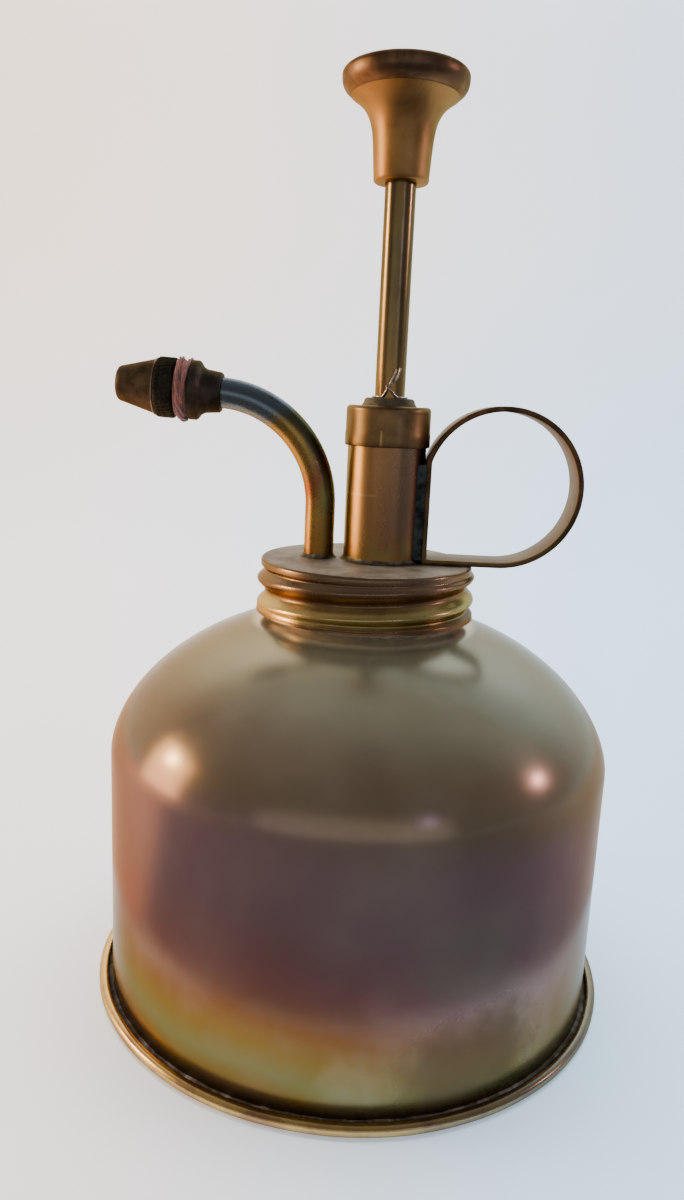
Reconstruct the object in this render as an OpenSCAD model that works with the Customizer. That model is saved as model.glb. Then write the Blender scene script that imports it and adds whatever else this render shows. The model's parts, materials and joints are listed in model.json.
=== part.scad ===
// Brass plant mister: a spun bottle with a screw lid that carries a hand pump,
// a bent spout with a screw nozzle and a finger ring.
// Millimetres, +Z up. The origin is the centre of the face the base pan stands on.
// The spout points to -X and the finger ring to +X.

/* [Bottle] */
// Outer diameter of the bottle's straight wall
body_d = 88; // [76:1:110]
// Height of the straight wall above the table
wall_h = 44; // [40:1:70]
// Height of the domed shoulder, if it ran on to the bottle's axis
dome_h = 24; // [17:1:34]
// Fullness of the dome: 2 is an ellipse, less is a softer shoulder
dome_power = 1.72; // [1.5:0.02:2.1]
// Diameter of the flat core that the dome's curve starts from
dome_core_d = 22; // [16:1:26]
// Sheet thickness of the bottle
wall_t = 0.8; // [0.6:0.1:1.2]
// Radius of the fillet between dome and neck
neck_fillet = 1.2; // [0.8:0.1:2]

/* [Base pan] */
// Sheet thickness of the base pan
pan_t = 0.8; // [0.6:0.1:1.4]
// Diameter of the rolled bead round the pan
bead_d = 2; // [1.4:0.1:2.6]
// Width of the groove between the wall and the bead
groove_w = 0.5; // [0.3:0.1:1.2]

/* [Lid] */
// Outer diameter of the lid's plain band
lid_d = 36.8; // [34:0.2:44]
// Height of the lid from hem to top
lid_h = 9.4; // [8.8:0.1:13]
// Sheet thickness of the threaded skirt
skirt_t = 0.5; // [0.4:0.05:0.6]
// Thickness of the lid's top plate
lid_plate_t = 0.6; // [0.5:0.1:1.2]
// Pitch of the rolled screw thread
thread_pitch = 4.2; // [3.6:0.1:4.6]
// Depth of the rolled thread from crest to root
thread_depth = 1.4; // [1:0.1:1.6]
// Thickness of the gasket under the lid's top plate
gasket_t = 1; // [0.6:0.1:1.4]
// Diameter of the vent hole behind the pump
vent_d = 1.2; // [0.8:0.1:2]

/* [Pump] */
// Distance from the lid's centre to the pump's axis
pump_x = 2.6; // [2.2:0.1:4]
// Outer diameter of the pump barrel
barrel_d = 13.5; // [11:0.1:14.4]
// Wall thickness of the pump barrel
barrel_t = 0.7; // [0.5:0.05:0.9]
// Barrel showing between the lid and the barrel cap
barrel_rise = 19.6; // [17:0.2:30]
// Wall of the barrel cap round the barrel
cap_wall_t = 0.55; // [0.45:0.05:1.2]
// Height of the barrel cap
cap_h = 6.8; // [5.4:0.1:9]
// Height of the gland bush above the barrel cap
boss_h = 1.3; // [0.8:0.1:2.5]
// Diameter of the plunger rod
rod_d = 5.1; // [4.2:0.1:5.6]
// Travel of the plunger
stroke = 28; // [20:0.5:34]
// Rod still showing above the gland bush when the plunger is down
rod_left = 6; // [5.5:0.5:12]
// Height of the whole knob
knob_h = 17; // [14:0.5:22]
// Height of the knob's disc
disc_h = 4.2; // [3.4:0.1:6]
// Diameter of the knob's disc
knob_d = 20.4; // [18:0.2:26]
// Diameter of the knob's lower end
knob_foot_d = 9; // [8:0.2:11]

/* [Spout] */
// Gap between the pump barrel and the spout tube
spout_gap = 1.75; // [1.4:0.05:2.4]
// Outer diameter of the spout tube
spout_d = 5.2; // [4.4:0.1:5.4]
// Wall thickness of the spout tube
spout_t = 0.7; // [0.5:0.05:0.9]
// Height of the spout's mouth above the lid
spout_rise = 27.4; // [23:0.2:40]
// Radius of the spout's bend, at the tube's centre
bend_r = 18.4; // [14:0.2:20]
// How far the nozzle's axis rises towards its tip, in degrees
spout_tilt = 3; // [0:1:20]

/* [Nozzle] */
// Diameter of the nozzle's knurled band
nozzle_d = 10.2; // [9.6:0.1:12]
// Length of the nozzle's cone in front of the knurled band
tip_len = 7; // [6.4:0.2:10]
// Diameter of the nozzle's front face
tip_d = 5.6; // [4.6:0.1:6.4]
// Diameter of the spray hole
spray_d = 0.7; // [0.5:0.1:1]
// Width of the knurled band
knurl_w = 3.2; // [2.6:0.1:5]
// Number of ribs on the knurled band
knurl_ribs = 40; // [24:1:48]

/* [Finger ring] */
// Outer diameter of the finger ring
ring_d = 27.2; // [24:0.2:36]
// Width of the strip
strip_w = 8; // [6:0.5:9]
// Thickness of the strip
strip_t = 0.9; // [0.7:0.1:1.4]

/* [Inside the bottle] */
// Depth of the barrel's lower end below the lid's top
barrel_drop = 36; // [34:0.5:38]
// Outer diameter of the dip tube
dip_d = 5; // [4:0.1:5.4]
// Height of the strainer above the base pan
strainer_gap = 3; // [2:0.5:5]
// Diameter of the inlet ball
inlet_ball_d = 4; // [3.4:0.1:4.4]
// Diameter of the outlet ball
outlet_ball_d = 3.4; // [3:0.1:3.6]
// Lift of each valve ball
ball_lift = 1.2; // [0.8:0.1:1.5]

/* [Hidden] */
$fn = 72;

// Clearances
fit = 0.02;         // between soldered, pressed and seated pieces
running = 0.05;     // radial, between pieces that slide or turn in each other
face_gap = 0.05;    // between faces that part when a joint moves
thread_gap = 0.4;   // between the lid's thread and the neck's
bury = 0.1;         // how far a plain ring covers the threaded sheet's end
eps = 0.01;

// Thread: one sine wave per turn and pitch, right-handed
thread_r = lid_d / 2;                               // mean radius of the lid's outer face
crest = thread_depth / 2;
neck_root_r = thread_r - skirt_t - thread_gap - crest;
neck_t = 0.6;                                       // sheet left at the thinned neck
neck_r = neck_root_r + bury;                        // plain neck below the thread
neck_bore_r = neck_root_r - neck_t - bury;
thread_cols = 48;
rows_per_turn = 12;
run_out = thread_pitch / 4;

// Dome: a superellipse about a flat core round the axis
dome_core_r = dome_core_d / 2;
function dome_t(r, inset) =
    acos(pow((r - dome_core_r) / (body_d / 2 - inset - dome_core_r), dome_power / 2));
function dome_xy(t, inset) = [
    dome_core_r + (body_d / 2 - inset - dome_core_r) * pow(cos(t), 2 / dome_power),
    wall_h + (dome_h - inset) * pow(sin(t), 2 / dome_power)
];
fillet_x = neck_r + neck_fillet;
fillet_foot = dome_xy(dome_t(fillet_x, 0), 0);
fillet_beyond = dome_xy(dome_t(fillet_x + 1, 0), 0);
dome_slope = atan(fillet_foot.y - fillet_beyond.y);
fillet_z = fillet_foot.y + neck_fillet / cos(dome_slope);

// Levels on the lid and neck
hem_r = 0.35;                                       // radius of the rolled hem
hem_z = fillet_z + 0.1;
lid_z = hem_z + lid_h;                              // the lid's top face
plate_z = lid_z - lid_plate_t;                      // underside of the top plate
lip_z = plate_z - gasket_t - face_gap;              // the neck's mouth
lid_round = 0.7;
thread_z = hem_z + 2.4;                             // a crest passes the front here

// Pump levels
barrel_r = barrel_d / 2;
bore_r = barrel_r - barrel_t;
cap_r = barrel_r + cap_wall_t;
cap_z = lid_z + barrel_rise;                        // lower edge of the barrel cap
cap_top_z = cap_z + cap_h;
cap_plate_t = 1.7;
boss_z = cap_top_z + boss_h;
boss_r = 4.3;
boss_foot_r = 4.7;
rod_r = rod_d / 2;
gland_bore_r = rod_r + running;
spigot_r = 3.9;                                     // gland bush below the cap's top
packing_t = 2;
packing_z = cap_top_z - cap_plate_t - packing_t;
tie_r = 0.17;                                       // radius of the tie wire
tie_gap = 0.15;                                     // between the tie wire and the rod
barrel_foot_z = lid_z - barrel_drop;

// Plunger levels, at rest
knob_z = boss_z + stroke + rod_left;
disc_z = knob_z + knob_h - disc_h;                  // where stem and disc meet
piston_z = packing_z - 1;                           // top of the piston plate
plate_h = 1.2;
leather_t = 1.1;
leather_h = 6;
nut_h = 2.4;
nut_r = 3.3;
rod_tail = 0.8;
rod_foot_z = piston_z - plate_h - leather_t - nut_h - rod_tail;
seat_h = 0.8;
seat_r = bore_r - 1.3;
spring_wire_d = 0.9;
spring_turns = 9;

// Spout: a straight riser, one bend, then a short stub in the nozzle socket
spout_r = spout_d / 2;
spout_x = barrel_r + spout_gap + spout_r - pump_x;   // distance from the lid's centre
bore_spout_r = spout_r - spout_t;
bend_angle = 90 - spout_tilt;
mouth_z = lid_z + spout_rise;
bend_z = mouth_z - bend_r * sin(bend_angle);
mouth_x = -spout_x - bend_r * (1 - cos(bend_angle));

// Nozzle: lengths along its own axis from the spout's mouth
cone_len = 3.9;
collar_w = 1.5;
twine_w = 2.3;
collar_r = nozzle_d / 2 - 0.1;
spigot_nozzle_r = 3.6;
stub_len = 4.6;
twine_s = cone_len + collar_w;
knurl_s = twine_s + twine_w;
tip_s = knurl_s + knurl_w;
washer_t = 0.7;
spigot_end_s = tip_s - 0.6;
washer_s = spigot_end_s + face_gap;
shoulder_s = washer_s + washer_t + face_gap;
core_r = 1.5;
chamber_r = 1.9;
spray_wall = 1.6;

// Finger ring: its arc passes just outside the lower edge of the barrel cap
leg_x = pump_x + barrel_r;
ring_r = ring_d / 2;
ring_z = lid_z + ring_r;
cap_side_gap = 0.25;
cap_above_ring = min(cap_z - ring_z, 0.8 * ring_r);
ring_x = pump_x + cap_r + cap_side_gap + sqrt(ring_r * ring_r - cap_above_ring * cap_above_ring);
leg_top_z = ring_z + sqrt(max(1, ring_r * ring_r - pow(ring_x - leg_x, 2)));

// Valve block levels
block_wall = 0.9;
block_r = barrel_r + block_wall;
block_lap = 4;                                      // barrel held in the block
chamber_top_z = barrel_foot_z;
inlet_hole_r = 1.3;
outlet_hole_r = 1.1;
inlet_r = inlet_ball_d / 2;
outlet_r = outlet_ball_d / 2;
pin_r = 0.4;
inlet_chamber_r = inlet_r + 0.7;
outlet_chamber_r = outlet_r + 0.5;
inlet_ball_seat = sqrt(inlet_r * inlet_r - inlet_hole_r * inlet_hole_r);
outlet_ball_seat = sqrt(outlet_r * outlet_r - outlet_hole_r * outlet_hole_r);
inlet_pin_z = chamber_top_z - 1;
inlet_seat_z = inlet_pin_z - pin_r - face_gap - ball_lift - inlet_r - inlet_ball_seat;
passage_r = 1;
passage_z = inlet_seat_z + inlet_ball_seat + 1.2;
outlet_seat_z = passage_z + passage_r + 1;
outlet_pin_z = outlet_seat_z + outlet_ball_seat + outlet_r + ball_lift + face_gap + pin_r;
riser_foot_z = outlet_pin_z + pin_r + 0.6;
lug_r = spout_r + 1.2;
lug_top_z = riser_foot_z + 4;
web_h = 6.4;
dip_r = dip_d / 2;
dip_bore_r = dip_r - 0.7;
dip_lap = 4;
dip_top_z = inlet_seat_z - 1.2;
block_foot_z = dip_top_z - dip_lap;
strainer_r = dip_r + 1.6;
strainer_z = pan_t + strainer_gap;
strainer_h = 9;

module at_pump() translate([pump_x, 0, 0]) children();

module at_spout() translate([-spout_x, 0, 0]) children();

// Local +Z runs out along the nozzle
module at_nozzle(s = 0)
    translate([mouth_x, 0, mouth_z]) rotate([0, spout_tilt - 90, 0]) translate([0, 0, s]) children();

module tube(r_out, r_in, h, z = 0) translate([0, 0, z]) difference() {
    cylinder(r = r_out, h = h);
    translate([0, 0, -1]) cylinder(r = r_in, h = h + 2);
}

// Ramp from 0 at a to 1 at b, level at both ends
function ramp(z, a, b) = let (u = min(1, max(0, (z - a) / (b - a)))) u * u * (3 - 2 * u);

// Height of the thread's wave at an angle and a height, from -1 to 1
function wave(a, z) = cos(a - 270 - 360 * (z - thread_z) / thread_pitch);

// A closed ring of sheet: outer(a, z) is its outer radius, t its thickness
module wavy_ring(outer, t, z_lo, z_hi) {
    rows = ceil((z_hi - z_lo) / thread_pitch * rows_per_turn);
    side = 2 * (rows + 1);
    points = [for (i = [0:thread_cols - 1]) let (a = 360 * i / thread_cols)
        for (k = [0:side - 1])
            let (j = k <= rows ? k : side - 1 - k,
                 z = z_lo + (z_hi - z_lo) * j / rows,
                 r = outer(a, z) - (k <= rows ? 0 : t))
            [r * cos(a), r * sin(a), z]];
    faces = [for (i = [0:thread_cols - 1]) let (n = (i + 1) % thread_cols)
        for (k = [0:side - 1]) let (m = (k + 1) % side)
            each [[i * side + k, i * side + m, n * side + m],
                  [i * side + k, n * side + m, n * side + k]]];
    polyhedron(points, faces, convexity = 8);
}

// Outer edge of the bottle, from the pan up to the plain neck
function bottle_outline(steps = 22) = concat(
    [[body_d / 2, pan_t]],
    [for (i = [0:steps])
        dome_xy(dome_t(fillet_x - neck_fillet * sin(dome_slope), 0) * i / steps, 0)],
    [for (i = [1:8]) let (a = 270 - dome_slope - (90 - dome_slope) * i / 8)
        [fillet_x + neck_fillet * cos(a), fillet_z + neck_fillet * sin(a)]]
);

// Inner edge of the bottle, from the neck's bore down to the pan
function bottle_bore(steps = 22) = concat(
    [for (i = [0:steps]) dome_xy(dome_t(neck_bore_r, wall_t) * (1 - i / steps), wall_t)],
    [[body_d / 2 - wall_t, pan_t]]
);

module bottle_shell() color([0.55, 0.45, 0.28]) {
    stub_z = fillet_z + 0.5;
    rotate_extrude($fn = 120) polygon(concat(
        bottle_outline(),
        [[neck_r, stub_z], [neck_bore_r, stub_z]],
        bottle_bore()));
    wavy_ring(
        function(a, z) neck_root_r + crest * (1 + wave(a, z))
            * ramp(z, stub_z - 0.2, stub_z + run_out)
            * (1 - ramp(z, lip_z - 0.7 - run_out, lip_z - 0.6)),
        neck_t, stub_z - 0.3, lip_z - 0.3);
    tube(neck_r, neck_bore_r, 0.7, lip_z - 0.7);
}

bead_r = bead_d / 2;
bead_x = body_d / 2 + groove_w + bead_r;
bead_z = bead_r + 0.2;

module base_pan() color([0.66, 0.52, 0.27]) {
    cylinder(r = bead_x - bead_r * 0.6, h = pan_t, $fn = 120);
    rotate_extrude($fn = 120) translate([bead_x, bead_z]) circle(r = bead_r, $fn = 32);
}

// Solder that fills the bottom of the groove round the wall
module base_seam() color([0.5, 0.48, 0.42])
    difference() {
        tube(bead_x - bead_r * 0.6, body_d / 2 + fit, 0.9, pan_t, $fn = 120);
        rotate_extrude($fn = 120) translate([bead_x, bead_z]) circle(r = bead_r + fit, $fn = 32);
    }

module lid_gasket() color([0.25, 0.2, 0.17])
    tube(neck_r + 0.1, neck_bore_r - 0.6, gasket_t - face_gap, lip_z + face_gap);

module lid_cap() color([0.52, 0.4, 0.27]) difference() {
    union() {
        rotate_extrude() polygon(concat(
            [[0, plate_z], [thread_r - skirt_t - bury, plate_z],
             [thread_r - skirt_t - bury, plate_z - 0.7], [thread_r + bury, plate_z - 0.7]],
            [for (i = [0:6]) let (a = 15 * i)
                [thread_r + bury - lid_round * (1 - cos(a)), lid_z - lid_round * (1 - sin(a))]],
            [[0, lid_z]]));
        wavy_ring(
            function(a, z) thread_r + (1 - ramp(z, plate_z - 0.4 - run_out, plate_z - 0.6))
                * (crest - crest * (1 - wave(a, z)) * ramp(z, hem_z + 2 * hem_r, hem_z + 2 * hem_r + run_out)),
            skirt_t, hem_z + hem_r, plate_z - 0.4);
        rotate_extrude() translate([thread_r + crest - skirt_t / 2 + 0.05, hem_z + hem_r])
            circle(r = hem_r, $fn = 24);
    }
    at_pump() translate([0, 0, plate_z - 1]) cylinder(r = barrel_r + fit, h = 3);
    at_spout() translate([0, 0, plate_z - 1]) cylinder(r = spout_r + fit, h = 3);
    at_pump() translate([0, barrel_r + 2.6, plate_z - 1]) cylinder(d = vent_d, h = 3, $fn = 24);
}

module pump_barrel() color([0.6, 0.42, 0.24])
    at_pump() tube(barrel_r, bore_r, cap_top_z - cap_plate_t - fit - barrel_foot_z, barrel_foot_z);

// A thin solder fillet round a tube where it stands on the lid
module lid_fillet(r) rotate_extrude()
    polygon([[r + fit, lid_z], [r + 0.7, lid_z], [r + 0.25, lid_z + 0.25], [r + fit, lid_z + 0.7]]);

module barrel_solder() color([0.42, 0.42, 0.36]) at_pump() difference() {
    lid_fillet(barrel_r);
    translate([barrel_r - fit, -strip_w / 2 - fit, lid_z - 1]) cube([4, strip_w + 2 * fit, 3]);
}

module barrel_cap() color([0.5, 0.4, 0.27]) at_pump() difference() {
    rotate_extrude() polygon(concat(
        [[0, cap_z], [cap_r - 0.2, cap_z], [cap_r, cap_z + 0.2]],
        [for (i = [0:5]) let (a = 18 * i) [cap_r - 0.8 * (1 - cos(a)), cap_top_z - 0.8 * (1 - sin(a))]],
        [[0, cap_top_z]]));
    translate([0, 0, cap_z - 1]) cylinder(r = barrel_r + fit, h = cap_h - cap_plate_t + 1);
    translate([0, 0, cap_z]) cylinder(r = spigot_r + fit, h = cap_h + 1);
}

module gland_bush() color([0.45, 0.42, 0.32]) at_pump() difference() {
    union() {
        translate([0, 0, cap_top_z]) cylinder(r1 = boss_foot_r, r2 = boss_r, h = boss_h);
        translate([0, 0, cap_top_z - cap_plate_t]) cylinder(r = spigot_r, h = cap_plate_t + eps);
    }
    translate([0, 0, cap_top_z - cap_plate_t - 1])
        cylinder(r = gland_bore_r, h = cap_plate_t + boss_h + 2);
}

module gland_packing() color([0.7, 0.66, 0.55])
    at_pump() tube(bore_r - fit, gland_bore_r, packing_t, packing_z);

// One corner-cutting pass that softens a run of points
function softened(p) = concat([p[0]],
    [for (i = [0:len(p) - 2]) each [0.75 * p[i] + 0.25 * p[i + 1], 0.25 * p[i] + 0.75 * p[i + 1]]],
    [p[len(p) - 1]]);

// Round wire along a run of points that passes round the Z axis, closed at both ends
module wire(path, r, sides = 8) {
    last = len(path) - 1;
    points = [for (i = [0:last])
        let (t = path[min(i + 1, last)] - path[max(i - 1, 0)],
             along = t / norm(t),
             out = [path[i].x, path[i].y, 0],
             side = out - along * (out * along),
             n = side / norm(side),
             m = cross(n, along))
        for (j = [0:sides - 1])
            path[i] + r * (cos(360 * j / sides) * n + sin(360 * j / sides) * m)];
    faces = concat(
        [for (i = [0:last - 1], j = [0:sides - 1]) let (k = (j + 1) % sides)
            each [[i * sides + j, i * sides + k, (i + 1) * sides + k],
                  [i * sides + j, (i + 1) * sides + k, (i + 1) * sides + j]]],
        [[for (j = [sides - 1:-1:0]) j]],
        [[for (j = [0:sides - 1]) last * sides + j]]);
    polyhedron(points, faces, convexity = 10);
}

// One wire laid round the rod on top of the gland bush, its ends twisted and standing up in a fork
module tie_wire() color([0.75, 0.74, 0.7]) at_pump() {
    loop_r = rod_r + running + tie_r + tie_gap;
    twisted_end = [[1.5, 0.5, 4.9], [0.95, 0.4, 3], [0.5, 0.2, 2.6], [-0.2, 0, 2.3], [-0.75, 0.4, 1.9],
                   [-0.44, 0.8, 1.6], [0.5, 0.3, 0.9]];
    plain_end = [[-0.5, 0.35, 1.4], [0.9, 0.4, 4.7]];
    translate([0, 0, boss_z]) wire(softened(concat(
        [for (p = twisted_end) [p.x, -loop_r - p.y, p.z]],
        [for (a = [-68:8:248]) [loop_r * cos(a), loop_r * sin(a), tie_r]],
        [for (p = plain_end) [p.x, -loop_r - p.y, p.z]])), tie_r);
}

// Outline of the strip in the XZ plane: leg on the barrel, foot on the lid, open ring
module strip_outline() {
    difference() {
        translate([ring_x, ring_z]) circle(r = ring_r, $fn = 120);
        translate([ring_x, ring_z]) circle(r = ring_r - strip_t, $fn = 120);
        translate([ring_x - 2 * ring_r, ring_z - 2 * ring_r]) square([2 * ring_r, 2 * ring_r]);
        translate([leg_x - 2 * ring_r, lid_z - ring_r]) square([2 * ring_r, 4 * ring_r]);
    }
    translate([leg_x, lid_z]) square([strip_t, leg_top_z - lid_z]);
    translate([leg_x, lid_z]) square([ring_x - leg_x + eps, strip_t]);
}

module finger_ring() color([0.42, 0.34, 0.22])
    translate([fit, strip_w / 2, 0]) rotate([90, 0, 0]) linear_extrude(strip_w) strip_outline();

// Solder that fills the wedge between the strip's leg and the round barrel
module ring_solder() color([0.16, 0.2, 0.2]) {
    proud = 0.25;
    depth = 2.4;
    width = 1.2 + proud;
    foot_gap = 0.8;
    top_gap = 0.6;
    for (side = [-1, 1]) difference() {
        translate([leg_x + fit - depth, side * (strip_w / 2 + proud - width / 2) - width / 2, lid_z + foot_gap])
            cube([depth, width, leg_top_z - lid_z - foot_gap - top_gap]);
        at_pump() cylinder(r = barrel_r + fit, h = cap_top_z);
    }
}

// Tube along a run of points in the XZ plane, square at both ends
module bent_tube(path, r_out, r_in, sides = 36) {
    last = len(path) - 1;
    ring = 2 * sides;
    points = [for (i = [0:last])
        let (t = path[min(i + 1, last)] - path[max(i - 1, 0)], along = t / norm(t))
        for (r = [r_out, r_in], j = [0:sides - 1])
            path[i] + r * (cos(360 * j / sides) * [along.z, 0, -along.x] + sin(360 * j / sides) * [0, 1, 0])];
    function quad(a, b, c, d) = [[a, b, c], [a, c, d]];
    faces = concat(
        [for (i = [0:last - 1], j = [0:sides - 1])
            let (k = (j + 1) % sides, a = i * ring, b = a + ring)
            each concat(quad(a + j, b + j, b + k, a + k),
                        quad(a + sides + k, b + sides + k, b + sides + j, a + sides + j))],
        [for (j = [0:sides - 1]) let (k = (j + 1) % sides, a = last * ring)
            each concat(quad(k, sides + k, sides + j, j),
                        quad(a + j, a + sides + j, a + sides + k, a + k))]);
    polyhedron(points, faces, convexity = 6);
}

module spout_tube() color([0.5, 0.45, 0.28])
    bent_tube(concat(
        [[-spout_x, 0, riser_foot_z]],
        [for (i = [0:20]) let (a = bend_angle * i / 20)
            [-spout_x - bend_r * (1 - cos(a)), 0, bend_z + bend_r * sin(a)]],
        [[mouth_x - stub_len * cos(spout_tilt), 0, mouth_z + stub_len * sin(spout_tilt)]]),
        spout_r, bore_spout_r);

module spout_solder() color([0.42, 0.42, 0.36]) at_spout() lid_fillet(spout_r);

module nozzle_socket() color([0.24, 0.22, 0.18]) at_nozzle() difference() {
    rotate_extrude() polygon([
        [0, 0], [spout_r + 0.75, 0], [spout_r + 0.8, 0.6], [collar_r - 1.3, cone_len - 1],
        [collar_r - 0.5, cone_len - 0.2], [collar_r, cone_len + 0.2], [collar_r, twine_s],
        [spigot_nozzle_r, twine_s], [spigot_nozzle_r, spigot_end_s], [0, spigot_end_s]]);
    translate([0, 0, -1]) cylinder(r = spout_r + fit, h = stub_len + 1 + fit);
    translate([0, 0, stub_len - 1]) cylinder(r = chamber_r, h = spigot_end_s);
}

// Slotted plug that spins the water before the spray hole
module swirl_core() color([0.6, 0.5, 0.3]) at_nozzle() difference() {
    union() {
        translate([0, 0, spigot_end_s - 4]) cylinder(r = chamber_r - fit, h = 2.4);
        translate([0, 0, spigot_end_s - 1.7]) cylinder(r = core_r, h = 3.6, $fn = 32);
    }
    for (a = [0, 90]) rotate(a)
        translate([-chamber_r - 1, -0.3, spigot_end_s - 5]) cube([2 * chamber_r + 2, 0.6, 4]);
}

// Three rough turns of twine over a packed inner layer
module sealing_twine() color([0.45, 0.2, 0.14]) at_nozzle() {
    strand_r = twine_w / 6;
    tube(collar_r - 0.3, spigot_nozzle_r + fit, twine_w - 2 * fit, twine_s + fit);
    rotate_extrude() for (i = [0:2])
        translate([collar_r - 0.25 + 0.1 * (i % 2), twine_s + strand_r * (2 * i + 1)])
            circle(r = strand_r - fit, $fn = 20);
}

module nozzle_washer() color([0.2, 0.17, 0.15])
    at_nozzle() tube(spigot_nozzle_r - 0.1, chamber_r + 0.2, washer_t, washer_s);

module knurl() linear_extrude(knurl_w) polygon([
    for (i = [0:2 * knurl_ribs - 1]) let (a = 180 * i / knurl_ribs, r = nozzle_d / 2 - 0.25 * (i % 2))
        [r * cos(a), r * sin(a)]]);

module nozzle_cap() color([0.2, 0.18, 0.15]) at_nozzle() difference() {
    union() {
        translate([0, 0, knurl_s + face_gap]) intersection() {
            knurl();
            rotate_extrude() polygon([
                [0, 0], [nozzle_d / 2 - 0.5, 0], [nozzle_d / 2 + eps, 0.4],
                [nozzle_d / 2 + eps, knurl_w - 0.3], [nozzle_d / 2 - 0.4, knurl_w], [0, knurl_w]]);
        }
        rotate_extrude() polygon([
            [0, tip_s - 0.5], [nozzle_d / 2 - 0.5, tip_s - 0.5], [nozzle_d / 2 - 0.3, tip_s + 0.2],
            [nozzle_d / 2 - 0.5, tip_s + 0.5], [tip_d / 2 + 0.15, tip_s + tip_len - 0.5],
            [tip_d / 2 - 0.4, tip_s + tip_len], [0, tip_s + tip_len]]);
    }
    cylinder(r = spigot_nozzle_r + 2 * running, h = shoulder_s);
    cylinder(r = chamber_r, h = tip_s + tip_len - spray_wall);
    cylinder(d = spray_d, h = tip_s + tip_len + 1, $fn = 24);
    translate([0, 0, tip_s + tip_len - 0.6]) cylinder(r1 = spray_d / 2, r2 = spray_d / 2 + 0.8, h = 0.7);
}

module plunger_rod() color([0.42, 0.38, 0.27]) at_pump() union() {
    translate([0, 0, piston_z]) cylinder(r = rod_r, h = knob_z + 6 - piston_z);
    translate([0, 0, rod_foot_z]) cylinder(r = rod_r - 0.9, h = piston_z - rod_foot_z + eps);
}

// Trumpet profile: slim foot, then a flare that grows with the square of the height
flare_h = disc_z - knob_z;
flare_r = knob_d / 2 - 1.5;
function flare(u) = knob_foot_d / 2 + 0.09 * knob_foot_d * u
    + (flare_r - 0.59 * knob_foot_d) * pow(u, 6);

module knob_stem() color([0.6, 0.44, 0.24]) at_pump() difference() {
    rotate_extrude() polygon(concat(
        [[0, knob_z], [knob_foot_d / 2 - 0.3, knob_z]],
        [for (i = [0:20]) let (u = i / 20) [flare(u), knob_z + 0.3 + (flare_h - 0.3) * u]],
        [[0, disc_z]]));
    translate([0, 0, knob_z - 1]) cylinder(r = rod_r + fit, h = 7 + fit);
}

module knob_disc() color([0.42, 0.3, 0.18]) at_pump() {
    top_z = knob_z + knob_h;
    edge_z = top_z - 1.4;
    rotate_extrude() polygon(concat(
        [[0, disc_z + fit], [flare_r, disc_z + fit], [knob_d / 2 - 0.35, disc_z + 1.1],
         [knob_d / 2 - 0.04, edge_z - 0.6]],
        [for (i = [0:6]) let (a = 15 * i) [knob_d / 2 - 1.4 * (1 - cos(a)), edge_z + 1.1 * sin(a)]],
        [[knob_d / 4, top_z - 0.08], [0, top_z]]));
}

module piston_plate() color([0.62, 0.5, 0.28])
    at_pump() tube(bore_r - 0.4, rod_r - 0.9 + fit, plate_h - fit, piston_z - plate_h);

module cup_leather() color([0.3, 0.2, 0.13]) at_pump() {
    top_z = piston_z - plate_h - fit;
    tube(bore_r - running, rod_r - 0.9 + fit, leather_t, top_z - leather_t);
    tube(bore_r - running, bore_r - running - leather_t + 0.2, leather_h, top_z - leather_h);
}

module piston_nut() color([0.6, 0.5, 0.3]) at_pump() difference() {
    nut_z = piston_z - plate_h - leather_t - nut_h - 2 * fit;
    translate([0, 0, nut_z]) cylinder(r = nut_r, h = nut_h, $fn = 6);
    translate([0, 0, nut_z - 1]) cylinder(r = rod_r - 0.9 + fit, h = nut_h + 2);
}

module spring_seat() color([0.6, 0.5, 0.3])
    at_pump() translate([0, 0, rod_foot_z - face_gap - seat_h]) cylinder(r = seat_r, h = seat_h);

module return_spring() color([0.5, 0.5, 0.5]) at_pump() {
    wire_r = spring_wire_d / 2;
    coil_r = seat_r - wire_r - 0.1;
    z_lo = barrel_foot_z + wire_r + fit;
    z_hi = rod_foot_z - face_gap - seat_h - wire_r - fit;
    steps = 20 * spring_turns;
    wire([for (i = [0:steps]) let (a = 360 * spring_turns * i / steps)
        [coil_r * cos(a), coil_r * sin(a), z_lo + (z_hi - z_lo) * i / steps]], wire_r);
}

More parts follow.
